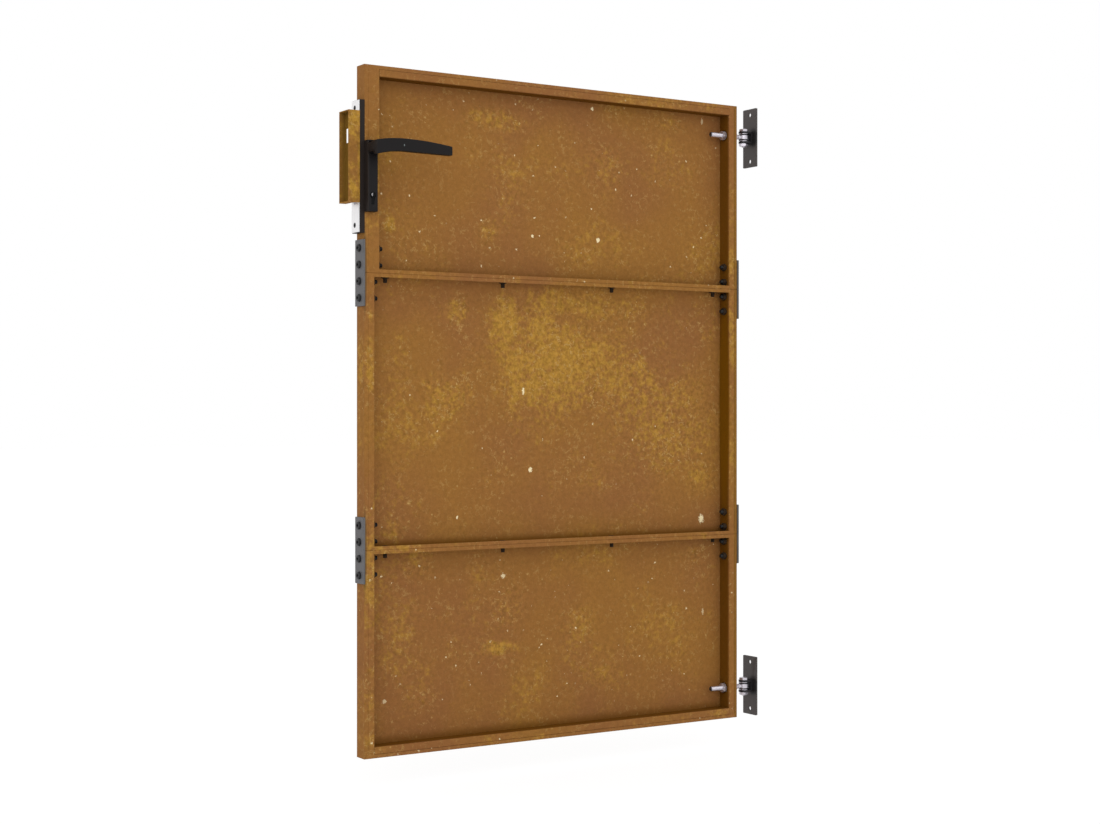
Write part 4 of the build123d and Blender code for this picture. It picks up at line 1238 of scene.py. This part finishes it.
@dataclass
class HexNut:
    """Chamfered hexagon nut that stands on the origin."""

    flats: float = 13.0
    height: float = 6.5
    bore: float = 4.0
    bore_chamfer: float = 0.5
    face_share: float = 0.95
    chamfer_angle: float = 30.0

    def outside(self, skin: RingLoft, foot: float, both_ends: bool = True) -> None:
        """Adds the chamfered sides to a loft.

        Args:
            skin: The loft.
            foot: Height of the underside.
            both_ends: Whether the underside is chamfered too.
        """
        face = self.flats / 2 * self.face_share
        slope = math.tan(math.radians(self.chamfer_angle))
        hexa = hexagon(self.flats)
        if both_ends:
            skin.ring(foot, face)
            skin.ring(lambda angle: foot + max(0.0, hexa(angle) - face) * slope, hexa)
        else:
            skin.ring(foot, hexa)
        skin.ring(lambda angle: foot + self.height - max(0.0, hexa(angle) - face) * slope, hexa)
        skin.ring(foot + self.height, face)

    def mesh(self, name: str) -> bpy.types.Mesh:
        """Lofts the nut round its bore.

        Args:
            name: Name of the mesh.

        Returns:
            The mesh.
        """
        skin = RingLoft()
        self.outside(skin, 0.0)
        return skin.bored(0.0, self.height, self.bore, self.bore_chamfer).mesh(name, endless=True)


@dataclass
class RoundRing:
    """Washer or bush with rounded edges, which lies on the origin."""

    radius: float
    bore: float
    thickness: float
    edge: float = 0.35

    def mesh(self, name: str) -> bpy.types.Mesh:
        """Lofts the ring round its bore.

        Args:
            name: Name of the mesh.

        Returns:
            The mesh.
        """
        edge, high = self.edge, self.thickness - self.edge
        skin = RingLoft().bead(self.radius - edge, edge, edge, -90.0, 0.0)
        skin.bead(self.radius - edge, high, edge, 0.0, 90.0)
        return skin.bored(0.0, self.thickness, self.bore, edge / 2).mesh(name, endless=True)


# Sub-assemblies


@dataclass(frozen=True)
class Section:
    """One tray of the leaf, how speckled its rust is, and the box stiffeners behind its lips."""

    name: str
    recess: Recess
    speckled: float
    tubes: tuple[str, ...]


@dataclass
class GateLeaf:
    """Three folded trays and the box stiffeners behind their lips."""

    sections: tuple[Section, ...] = (
        Section(
            "bottom", Recess(GATE.foot, GATE.joints[0], GATE.rail, GATE.sheet, GATE.lock_inside, 0.62, 0.16),
            1.0, ("bottom_lock_stile_tube", "bottom_hinge_stile_tube", "bottom_rail_tube")),
        Section(
            "middle", Recess(*GATE.joints, GATE.sheet, GATE.sheet, GATE.lock_inside, 0.85, 0.32),
            0.22, ("middle_lock_stile_tube", "middle_hinge_stile_tube")),
        Section(
            "top",
            Recess(GATE.joints[1], GATE.head, GATE.sheet, GATE.rail, GATE.wide_lock_inside, 0.45, 0.07),
            0.85, ("lock_stile_tube", "top_hinge_stile_tube", "top_rail_tube")),
    )
    bloom_patches: tuple[Patch, ...] = (
        Patch(-455.0, 672.0, 185.0, 118.0, 1.05),
        Patch(-345.0, 640.0, 125.0, 82.0, 0.85),
        Patch(-575.0, 650.0, 105.0, 85.0, 0.45),
        Patch(-255.0, 585.0, 95.0, 62.0, 0.60),
        Patch(-890.0, 643.0, 13.0, 62.0, 0.85),
        Patch(-888.0, 737.0, 9.0, 14.0, 0.80),
        Patch(-583.0, 734.0, 48.0, 70.0, 1.1),
        Patch(-691.0, 756.0, 26.0, 36.0, 0.9),
        Patch(-420.0, 771.0, 190.0, 55.0, 0.8),
        Patch(-718.0, 588.0, 72.0, 64.0, 0.85),
        Patch(-812.0, 580.0, 55.0, 48.0, 0.40),
        Patch(-190.0, 520.0, 150.0, 140.0, 0.62),
        Patch(-125.0, 435.0, 60.0, 50.0, 0.8),
        Patch(-830.0, 345.0, 44.0, 40.0, 0.6),
        Patch(-605.0, 1121.0, 80.0, 24.0, 0.75),
        Patch(-351.0, 1048.0, 52.0, 52.0, 0.5),
        Patch(-622.0, 908.0, 28.0, 30.0, 0.7),
        Patch(-420.0, 870.0, 110.0, 40.0, 0.5),
        Patch(-832.0, 906.0, 14.0, 16.0, 0.95),
        Patch(-194.0, 1150.0, 46.0, 26.0, 0.55),
        Patch(-103.0, 927.0, 30.0, 52.0, 0.35),
        Patch(-781.0, 290.0, 44.0, 36.0, 0.7),
        Patch(-575.0, 193.0, 52.0, 52.0, 0.5),
        Patch(-595.0, 116.0, 54.0, 18.0, 0.8),
        Patch(-420.0, 150.0, 60.0, 44.0, 0.55),
        Patch(-365.0, 53.0, 54.0, 44.0, 0.5),
        Patch(-192.0, 151.0, 46.0, 40.0, 0.5),
        Patch(-135.0, 279.0, 64.0, 26.0, 0.5),
    )
    cream_specks: tuple[Patch, ...] = (
        Patch(-372.0, 902.0, 4.2, 4.8),
        Patch(-524.0, 902.0, 2.6, 3.0),
        Patch(-386.0, 1159.0, 3.0, 3.8),
        Patch(-116.0, 1157.0, 2.6, 6.0, 0.45),
        Patch(-545.0, 605.0, 2.6, 6.5),
        Patch(-529.0, 454.0, 4.2, 4.8),
        Patch(-118.0, 347.0, 6.5, 8.5),
        Patch(-691.0, 367.0, 2.4, 3.2),
        Patch(-590.0, 253.0, 5.0, 4.6, 0.75),
        Patch(-114.0, 157.0, 2.6, 6.0, 0.45),
        Patch(-844.0, 35.0, 4.5, 4.0, 0.5),
    )
    marks: tuple[MarkOrPaintedLight, ...] = (
        # Painted shadow of each hinge nut on the inner face of the hinge stile.
        *(MarkOrPaintedLight((GATE.hinge_inside, 0.0, height), (6.0, 14.0, 14.0), (0.030, 0.014, 0.0020), 0.8)
          for height in GATE.hinges),
        # Painted shadow beside the lock-side joiner plates.
        *(MarkOrPaintedLight((GATE.lock_edge, GATE.front, height), (5.5, 6.0, 95.0), (0.11, 0.070, 0.030), 0.6)
          for height in GATE.joints),
        # Painted shade on the fold down the front of the hinge stile.
        MarkOrPaintedLight((GATE.hinge_edge, GATE.front, 565.0), (10.0, 14.0, ENDLESS), (0.198, 0.097, 0.0133), 0.6),
        # A paler olive-ochre band up the middle of the hinge stile's inner face.
        MarkOrPaintedLight((GATE.hinge_inside, 0.0, 580.0), (6.0, 22.0, 260.0), (0.168, 0.068, 0.0008), 0.8),
    )

    def build(self) -> None:
        """Dresses the trays and their stiffeners in rust."""
        for section in self.sections:
            low, high = section.recess.foot, section.recess.head
            finish = RustFinish(
                f"{section.name}_section_rust", speckled=section.speckled,
                patches=tuple(patch for patch in self.bloom_patches if low <= patch.z <= high),
                specks=tuple(speck for speck in self.cream_specks if low <= speck.z <= high),
                marks_and_painted_light=tuple(mark for mark in self.marks if mark.reaches(low, high)),
                place=section.recess,
            ).make()
            for node in (f"{section.name}_section_tray", *section.tubes):
                smooth_copy(node, Look(Body.LEAF, "weathering_steel", finish))


@dataclass
class SectionJoiners:
    """Bolts through the flanges between sections, and joiner plates with their bolts on the side faces."""

    plate: float = 3.0
    bolt_count: int = 4
    bolt_pitch: float = 30.0
    bolt_tail: float = 12.0
    bolt_y: float = -2.0
    flange_first: float = -850.0
    flange_pitch: float = 250.0
    flange_count: int = 4
    flange_length: float = 18.0
    flange_nut: float = 4.0
    washer: float = 1.6
    washer_radius: float = 8.0
    bolt_hole: float = 4.4

    def build(self, rows: FastenerRows, finishes: Finishes) -> None:
        """Builds the fasteners and dresses the plates.

        Args:
            rows: Tree that sets the fasteners out.
            finishes: Finishes of the slots.
        """
        dusted = finishes.look(Body.LEAF, "black_fastener", "dusted_fastener")
        self._flange_bolts(rows, dusted)
        self._joiner_bolts(rows, finishes.look(Body.LEAF, "black_fastener", "button_head"), dusted)
        for joint in ("lower", "upper"):
            for side in ("lock", "hinge"):
                smooth_copy(f"{joint}_{side}_joiner_plate", finishes.look(Body.LEAF, "grey_plate"))

    def _across(self, height: float, facing: Facing) -> Row:
        """Gives a row along a joint between two sections."""
        return Row(self.flange_count, (self.flange_first, 0.0, height), facing, (self.flange_pitch, 0.0, 0.0))

    def _up(self, count: int, x: float, low: float, facing: Facing) -> Row:
        """Gives a row up a side face."""
        return Row(count, (x, self.bolt_y, low), facing, (0.0, 0.0, self.bolt_pitch))

    def _flange_bolts(self, rows: FastenerRows, dusted: Look) -> None:
        """Builds the bolts, washers and nuts between sections.

        Args:
            rows: Tree that sets them out.
            dusted: Their look.
        """
        for seed, name, joint in zip((10, 11), ("lower", "upper"), GATE.joints):
            rows.piece(
                f"{name}_flange_bolt_row", SocketBolt(self.flange_length).mesh("flange_bolt"),
                [self._across(joint + GATE.sheet, Facing.UP)], dusted, f"{name}_flange_bolts", seed=seed)
        feet = [joint - GATE.sheet for joint in GATE.joints]
        rows.piece(
            "flange_washer_rows", RoundRing(self.washer_radius, self.bolt_hole, self.washer).mesh("washer"),
            [self._across(foot, Facing.DOWN) for foot in feet], dusted, "flange_washers", seed=20)
        rows.piece(
            "flange_nut_rows", HexNut(height=self.flange_nut).mesh("nut"),
            [self._across(foot - self.washer, Facing.DOWN) for foot in feet], dusted, "flange_nuts", seed=30)

    def _joiner_bolts(self, rows: FastenerRows, button: Look, dusted: Look) -> None:
        """Builds the bolts and nuts of the joiner plates.

        Args:
            rows: Tree that sets them out.
            button: Look of the bolts.
            dusted: Look of the nuts.
        """
        full, half = self.bolt_count, self.bolt_count // 2
        lower, upper = (joint - self.bolt_pitch * (full - 1) / 2 for joint in GATE.joints)
        over_joint = upper + self.bolt_pitch * half
        groups = (
            ("lock", 40, GATE.lock_edge, -1, GATE.stile, ((full, lower), (half, upper))),
            ("long", 50, GATE.lock_edge, -1, GATE.lock_stile, ((half, over_joint),)),
            ("hinge", 60, GATE.hinge_edge, 1, GATE.stile, ((full, lower), (full, upper))),
        )
        facing = {-1: Facing.TO_POST, 1: Facing.TO_WALL}
        nuts: list[Row] = []
        for name, seed, edge, side, stile, places in groups:
            bolt = SocketBolt(self.plate + stile + self.bolt_tail).mesh("joiner_bolt")
            bolts = [self._up(count, edge + side * self.plate, low, facing[side]) for count, low in places]
            nuts += [self._up(count, edge - side * stile, low, facing[-side]) for count, low in places]
            rows.piece(f"{name}_joiner_bolt_row", bolt, bolts, button, f"{name}_joiner_bolts", seed=seed)
        rows.piece("joiner_nut_rows", HexNut().mesh("nut"), nuts, dusted, "joiner_nuts", seed=70)


@dataclass
class Hinges:
    """Two hinges: eye bolts in the leaf, and brackets with pins on the wall plates."""

    pin_x: float = -20.0
    eye_radius: float = 10.0
    eye_half: float = 4.3
    eye_bore: float = 5.08
    eye_edge: float = 0.8
    eye_chamfer: float = 0.4
    eye_sides: int = 64
    stud_radius: float = 5.0
    stud_sides: int = 40
    stud_thread: Thread = Thread(pitch=1.5, groove=0.80, run_out=2.5, tip=1.0, chamfer=1.2)
    stud_nut_flats: float = 17.0
    stud_nut_height: float = 8.0
    root_inside: float = 2.0
    root_flat: float = 0.97
    root_steps: tuple[float, float, float] = (0.4, 1.6, 3.0)
    pin_radius: float = 5.0
    pin_flats: float = 16.0
    pin_head: float = 5.2
    pin_head_middle: float = 1.0
    pin_nut: float = 6.0
    pin_tail: float = 1.5
    pin_hole: float = 5.1
    pin_thread: Thread = Thread(pitch=1.5, groove=0.75, run_out=1.5, tip=0.9, chamfer=1.1, length=9.5)
    side_play: float = 0.1
    bush: float = 2.2
    bush_radius: float = 9.6
    bush_edge: float = 0.6
    washer: float = 1.6
    washer_radius: float = 9.2
    ear: float = 4.0

    @property
    def ear_inside(self) -> float:
        """Height of a bracket's inner face above the hinge's middle."""
        return self.eye_half + self.side_play + self.bush + self.washer

    def build(self, rows: FastenerRows, finishes: Finishes) -> None:
        """Builds the hinge hardware and dresses the brackets and plates.

        Args:
            rows: Tree that sets the hardware out.
            finishes: Finishes of the slots.
        """
        on_leaf, on_post = (finishes.look(body, "bright_fastener") for body in (Body.LEAF, Body.POST))
        for name, height in zip(("lower", "upper"), GATE.hinges):
            rows.piece(
                f"{name}_eye_bolt_thread", self._eye_bolt(), [Row(1, (self.pin_x, 0.0, height), Facing.UP)],
                on_leaf, f"{name}_eye_bolt", most_turn=0.0)
            rows.piece(
                f"{name}_hinge_pin_bolt", self._pin(),
                [Row(1, (self.pin_x, 0.0, height + self.ear_inside + self.ear), Facing.UP)],
                on_post, f"{name}_hinge_pin", seed=80)
            smooth_copy(f"{name}_wall_plate", finishes.look(Body.POST, "dark_plate"))
            smooth_copy(f"{name}_hinge_bracket", finishes.look(Body.POST, "black_bracket"))
        self._stack(rows, on_post, finishes.look(Body.POST, "nylon"))
        rows.piece(
            "eye_bolt_nut_rows",
            HexNut(self.stud_nut_flats, self.stud_nut_height, self.stud_radius).mesh("stud_nut"),
            [self._both(GATE.hinge_inside, 0.0, Facing.TO_POST),
             self._both(GATE.hinge_edge, 0.0, Facing.TO_WALL)], on_leaf, "eye_bolt_nuts", seed=90)

    def _both(self, x: float, height: float, facing: Facing) -> Row:
        """Gives a row of two, one at the same height above the middle of each hinge."""
        lower, upper = GATE.hinges
        return Row(2, (x, 0.0, lower + height), facing, (0.0, 0.0, upper - lower))

    def _pairs(self, height: float) -> list[Row]:
        """Gives rows that lie a height above and below the middle of both hinges."""
        return [self._both(self.pin_x, height, Facing.UP), self._both(self.pin_x, -height, Facing.DOWN)]

    def _stack(self, rows: FastenerRows, bright: Look, nylon: Look) -> None:
        """Builds the nuts, washers and bushes on the pins.

        Args:
            rows: Tree that sets them out.
            bright: Look of the nuts and washers.
            nylon: Look of the bushes.
        """
        nut = HexNut(self.pin_flats, self.pin_nut, self.pin_radius).mesh("pin_nut")
        below_ears = self._pairs(self.ear_inside + self.ear)[1:]
        rows.piece("hinge_pin_nut_row", nut, below_ears, bright, "hinge_pin_nuts", seed=100)
        foot = self.eye_half + self.side_play
        bush = RoundRing(self.bush_radius, self.pin_hole, self.bush, self.bush_edge).mesh("bush")
        rows.piece("hinge_bush_rows", bush, self._pairs(foot), nylon, "hinge_bushes")
        washer = RoundRing(self.washer_radius, self.pin_hole, self.washer).mesh("hinge_washer")
        rows.piece("hinge_washer_rows", washer, self._pairs(foot + self.bush), bright, "hinge_washers")

    def _root(self, angle: float) -> float:
        """Gives the stud's radius by its angle beside the eye, where it is no thicker than the eye."""
        return min(self.stud_radius, self.eye_half * self.root_flat / max(abs(math.cos(angle)), 1e-6))

    def _eye_bolt(self) -> bpy.types.Mesh:
        """Makes an eye with its threaded stud, around the pin's axis.

        Returns:
            The mesh.
        """
        half, edge, thread = self.eye_half, self.eye_edge, self.stud_thread
        ring = RingLoft(self.eye_sides).bead(self.eye_radius - edge, -half + edge, edge, -90.0, 0.0)
        ring.bead(self.eye_radius - edge, half - edge, edge, 0.0, 90.0)
        eye = ring.bored(-half, half, self.eye_bore, self.eye_chamfer).mesh("eye", endless=True)
        length = self.pin_x - GATE.stud_end
        flat_end, round_start, thread_start = (self.eye_radius + step for step in self.root_steps)
        stud = RingLoft(self.stud_sides).ring(self.eye_bore + self.root_inside, self._root)
        stud.ring(flat_end, self._root).ring(round_start, self.stud_radius)
        stud.threaded(thread_start, length - thread.tip, self.stud_radius, thread)
        rod = stud.ring(length, self.stud_radius - thread.chamfer).mesh("stud")
        rod.transform(Matrix.Rotation(-math.pi / 2, 4, "Y"))
        return finished_mesh(joined([eye, rod]), "eye_bolt")

    def _pin(self) -> bpy.types.Mesh:
        """Makes a hinge pin with a hexagon head, its seat at the origin.

        Returns:
            The mesh.
        """
        length = 2 * (self.ear_inside + self.ear) + self.pin_nut + self.pin_tail
        skin = RingLoft().shank(length, self.pin_radius, self.pin_thread)
        HexNut(self.pin_flats, self.pin_head).outside(skin, 0.0, both_ends=False)
        return skin.ring(self.pin_head, self.pin_head_middle).mesh("pin")


@dataclass
class LockSet:
    """Lock on the edge of the top section, with its levers, plates, bolts and cylinder."""

    smoothed: tuple[tuple[str, Body], ...] = (
        ("handle_plate", Body.LEAF),
        ("lever", Body.LEVERS),
    )
    dressed: tuple[tuple[str, tuple[str, ...]], ...] = (
        ("black_lock", ("lock_spacer",)),
        ("bright_plate", ("lock_faceplate",)),
        ("black_fastener", ("faceplate_screws", "handle_screws", "lever_grub_screws")),
        ("lock_steel", ("lock_case", "lock_case_cover", "spindle", "follower", "latch_bolt", "cylinder_cam",
                        "dead_bolt")),
        ("cylinder_metal", ("cylinder_body", "inside_cylinder_plug", "outside_cylinder_plug")),
        ("bright_fastener", ("cylinder_screw",)),
    )
    latch_travel: float = 7.5

    def build(self, finishes: Finishes) -> None:
        """Dresses the lock's pieces.

        Args:
            finishes: Finishes of the slots.
        """
        for slot, nodes in self.dressed:
            for node in nodes:
                dress(node, finishes.metal(slot))
        for node, body in self.smoothed:
            for side in ("inside", "outside"):
                smooth_copy(f"{side}_{node}", finishes.look(body, "black_lock"))
        self._spring(finishes.look(Body.LEAF, "lock_steel"))

    def _spring(self, steel: Look) -> None:
        """Shows the latch spring, which bears on the back of the case, by a merged copy with a mesh of its
        own, at one length.

        Args:
            steel: Its look.
        """
        spring = smooth_copy("latch_spring", steel)
        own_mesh(spring)


@dataclass
class Keeper:
    """Rusty box on the lock-side post that takes the latch and the dead bolt."""

    finish: RustFinish = RustFinish(
        "keeper_rust", ground=(0.270, 0.122, 0.030), brown=(0.240, 0.102, 0.026), bloom=(0.415, 0.230, 0.034),
        # Painted shade inside the keeper: the colour it mixes towards, and the pocket that places it.
        shade_colour=(0.151, 0.077, 0.0102), coverage=0.9, clouds=Cloud(30.0, 9.0, 0.66, 3.7), place=Pocket(),
        patches=(Patch(-922.0, 1078.0, 18.0, 34.0, 1.0), Patch(-912.0, 1000.0, 6.0, 80.0, 0.8),
                 Patch(-921.0, 956.0, 14.0, 18.0, 0.7)))

    def build(self) -> None:
        """Dresses the keeper in its yellower rust."""
        rusty = Look(Body.POST, "keeper_steel", self.finish.make())
        for node in ("keeper_channel", "keeper_front_plate"):
            smooth_copy(node, rusty)


@dataclass
class Studio:
    """White room with soft light, and the camera of the photograph."""

    floor_height: float = -118.0
    floor_half: float = 30000.0
    floor_colour: Colour = (0.86, 0.86, 0.86)
    background: Colour = (1.0, 1.0, 1.0)
    camera_at: Point = (-2396.5, -2968.3, 564.4)
    camera_turn: float = -32.66
    camera_range: float = 200000.0
    lens: float = 60.0
    sensor: float = 36.0
    ambient: float = 0.88
    floor_glow: float = 1.08
    floor_glow_share: float = 0.82
    key_at: Point = (-3200.0, -4100.0, 3300.0)
    key_target: Point = (-475.0, 0.0, 565.0)
    key_size: float = 6000.0
    key_power: float = 95.0

    def build(self) -> None:
        """Builds the world, the floor, the light and the camera."""
        bpy.context.scene.view_settings.view_transform = "Standard"
        self._world()
        self._floor()
        self._key()
        self._camera()
        LOG.info("studio: world, floor, key light and camera")

    def _graph(self, owner: Union[bpy.types.World, bpy.types.Material]) -> NodeGraph:
        """Empties the node tree of a world or a material.

        Args:
            owner: The world or the material.

        Returns:
            The graph of its tree.
        """
        owner.use_nodes = True
        owner.node_tree.nodes.clear()
        return NodeGraph(owner.node_tree)

    def _seen(self, graph: NodeGraph) -> Socket:
        """Gives 1 for rays that show the background: from the camera, in gloss and through glass."""
        path = graph.add("ShaderNodeLightPath").outputs
        return graph.most(path["Is Camera Ray"], path["Is Glossy Ray"], path["Is Transmission Ray"])

    def _world(self) -> None:
        """Makes a white background that lights the object at a plain level."""
        world = bpy.data.worlds.new("white_room")
        bpy.context.scene.world = world
        graph = self._graph(world)
        lift = graph.times(self._seen(graph), 1.0 - self.ambient)
        light = graph.add("ShaderNodeBackground", {
            "Color": (*self.background, 1.0), "Strength": graph.plus(lift, self.ambient)})
        graph.add("ShaderNodeOutputWorld", {"Surface": light.outputs[0]})

    def _floor(self) -> None:
        """Makes a pale floor that keeps a soft shadow."""
        skin = bmesh.new()
        bmesh.ops.create_grid(skin, x_segments=1, y_segments=1, size=self.floor_half * MM)
        bmesh.ops.translate(skin, verts=skin.verts, vec=(0.0, 0.0, self.floor_height * MM))
        floor = added(finished_mesh(skin, "studio_floor"), "studio_floor")
        material = bpy.data.materials.new("pale_floor")
        graph = self._graph(material)
        matt = graph.add("ShaderNodeBsdfDiffuse", {"Color": (*self.floor_colour, 1.0)})
        glow = graph.add("ShaderNodeEmission", {"Strength": self.floor_glow})
        both = graph.add("ShaderNodeMixShader", {
            0: graph.times(self._seen(graph), self.floor_glow_share), 1: matt.outputs[0], 2: glow.outputs[0]})
        graph.add("ShaderNodeOutputMaterial", {"Surface": both.outputs[0]})
        floor.data.materials.append(material)

    def _key(self) -> None:
        """Adds a large soft light from the front, above the camera."""
        lamp = bpy.data.lights.new("soft_key", "AREA")
        lamp.shape = "SQUARE"
        lamp.size = self.key_size * MM
        lamp.energy = self.key_power
        key = bpy.data.objects.new("soft_key", lamp)
        key.location = Vector(self.key_at) * MM
        aim = (Vector(self.key_target) - Vector(self.key_at)).to_track_quat("-Z", "Y")
        key.rotation_euler = aim.to_euler()
        key.visible_camera = False
        bpy.context.scene.collection.objects.link(key)

    def _camera(self) -> None:
        """Adds the camera at the photograph's place and angle."""
        lens = bpy.data.cameras.new("photo_camera")
        lens.lens = self.lens
        lens.sensor_width = self.sensor
        lens.sensor_fit = "HORIZONTAL"
        lens.clip_end = self.camera_range * MM
        camera = bpy.data.objects.new("photo_camera", lens)
        camera.location = Vector(self.camera_at) * MM
        camera.rotation_euler = Euler((math.pi / 2, 0.0, math.radians(self.camera_turn)))
        bpy.context.scene.collection.objects.link(camera)
        bpy.context.scene.camera = camera


def main() -> None:
    """Builds the gate's looks in order."""
    logging.basicConfig(level=logging.INFO, format="%(name)s: %(message)s")
    finishes = Finishes()
    rows = FastenerRows()
    GateLeaf().build()
    SectionJoiners().build(rows, finishes)
    Hinges().build(rows, finishes)
    LockSet().build(finishes)
    Keeper().build()
    Studio().build()


if __name__ == "__main__":
    main()
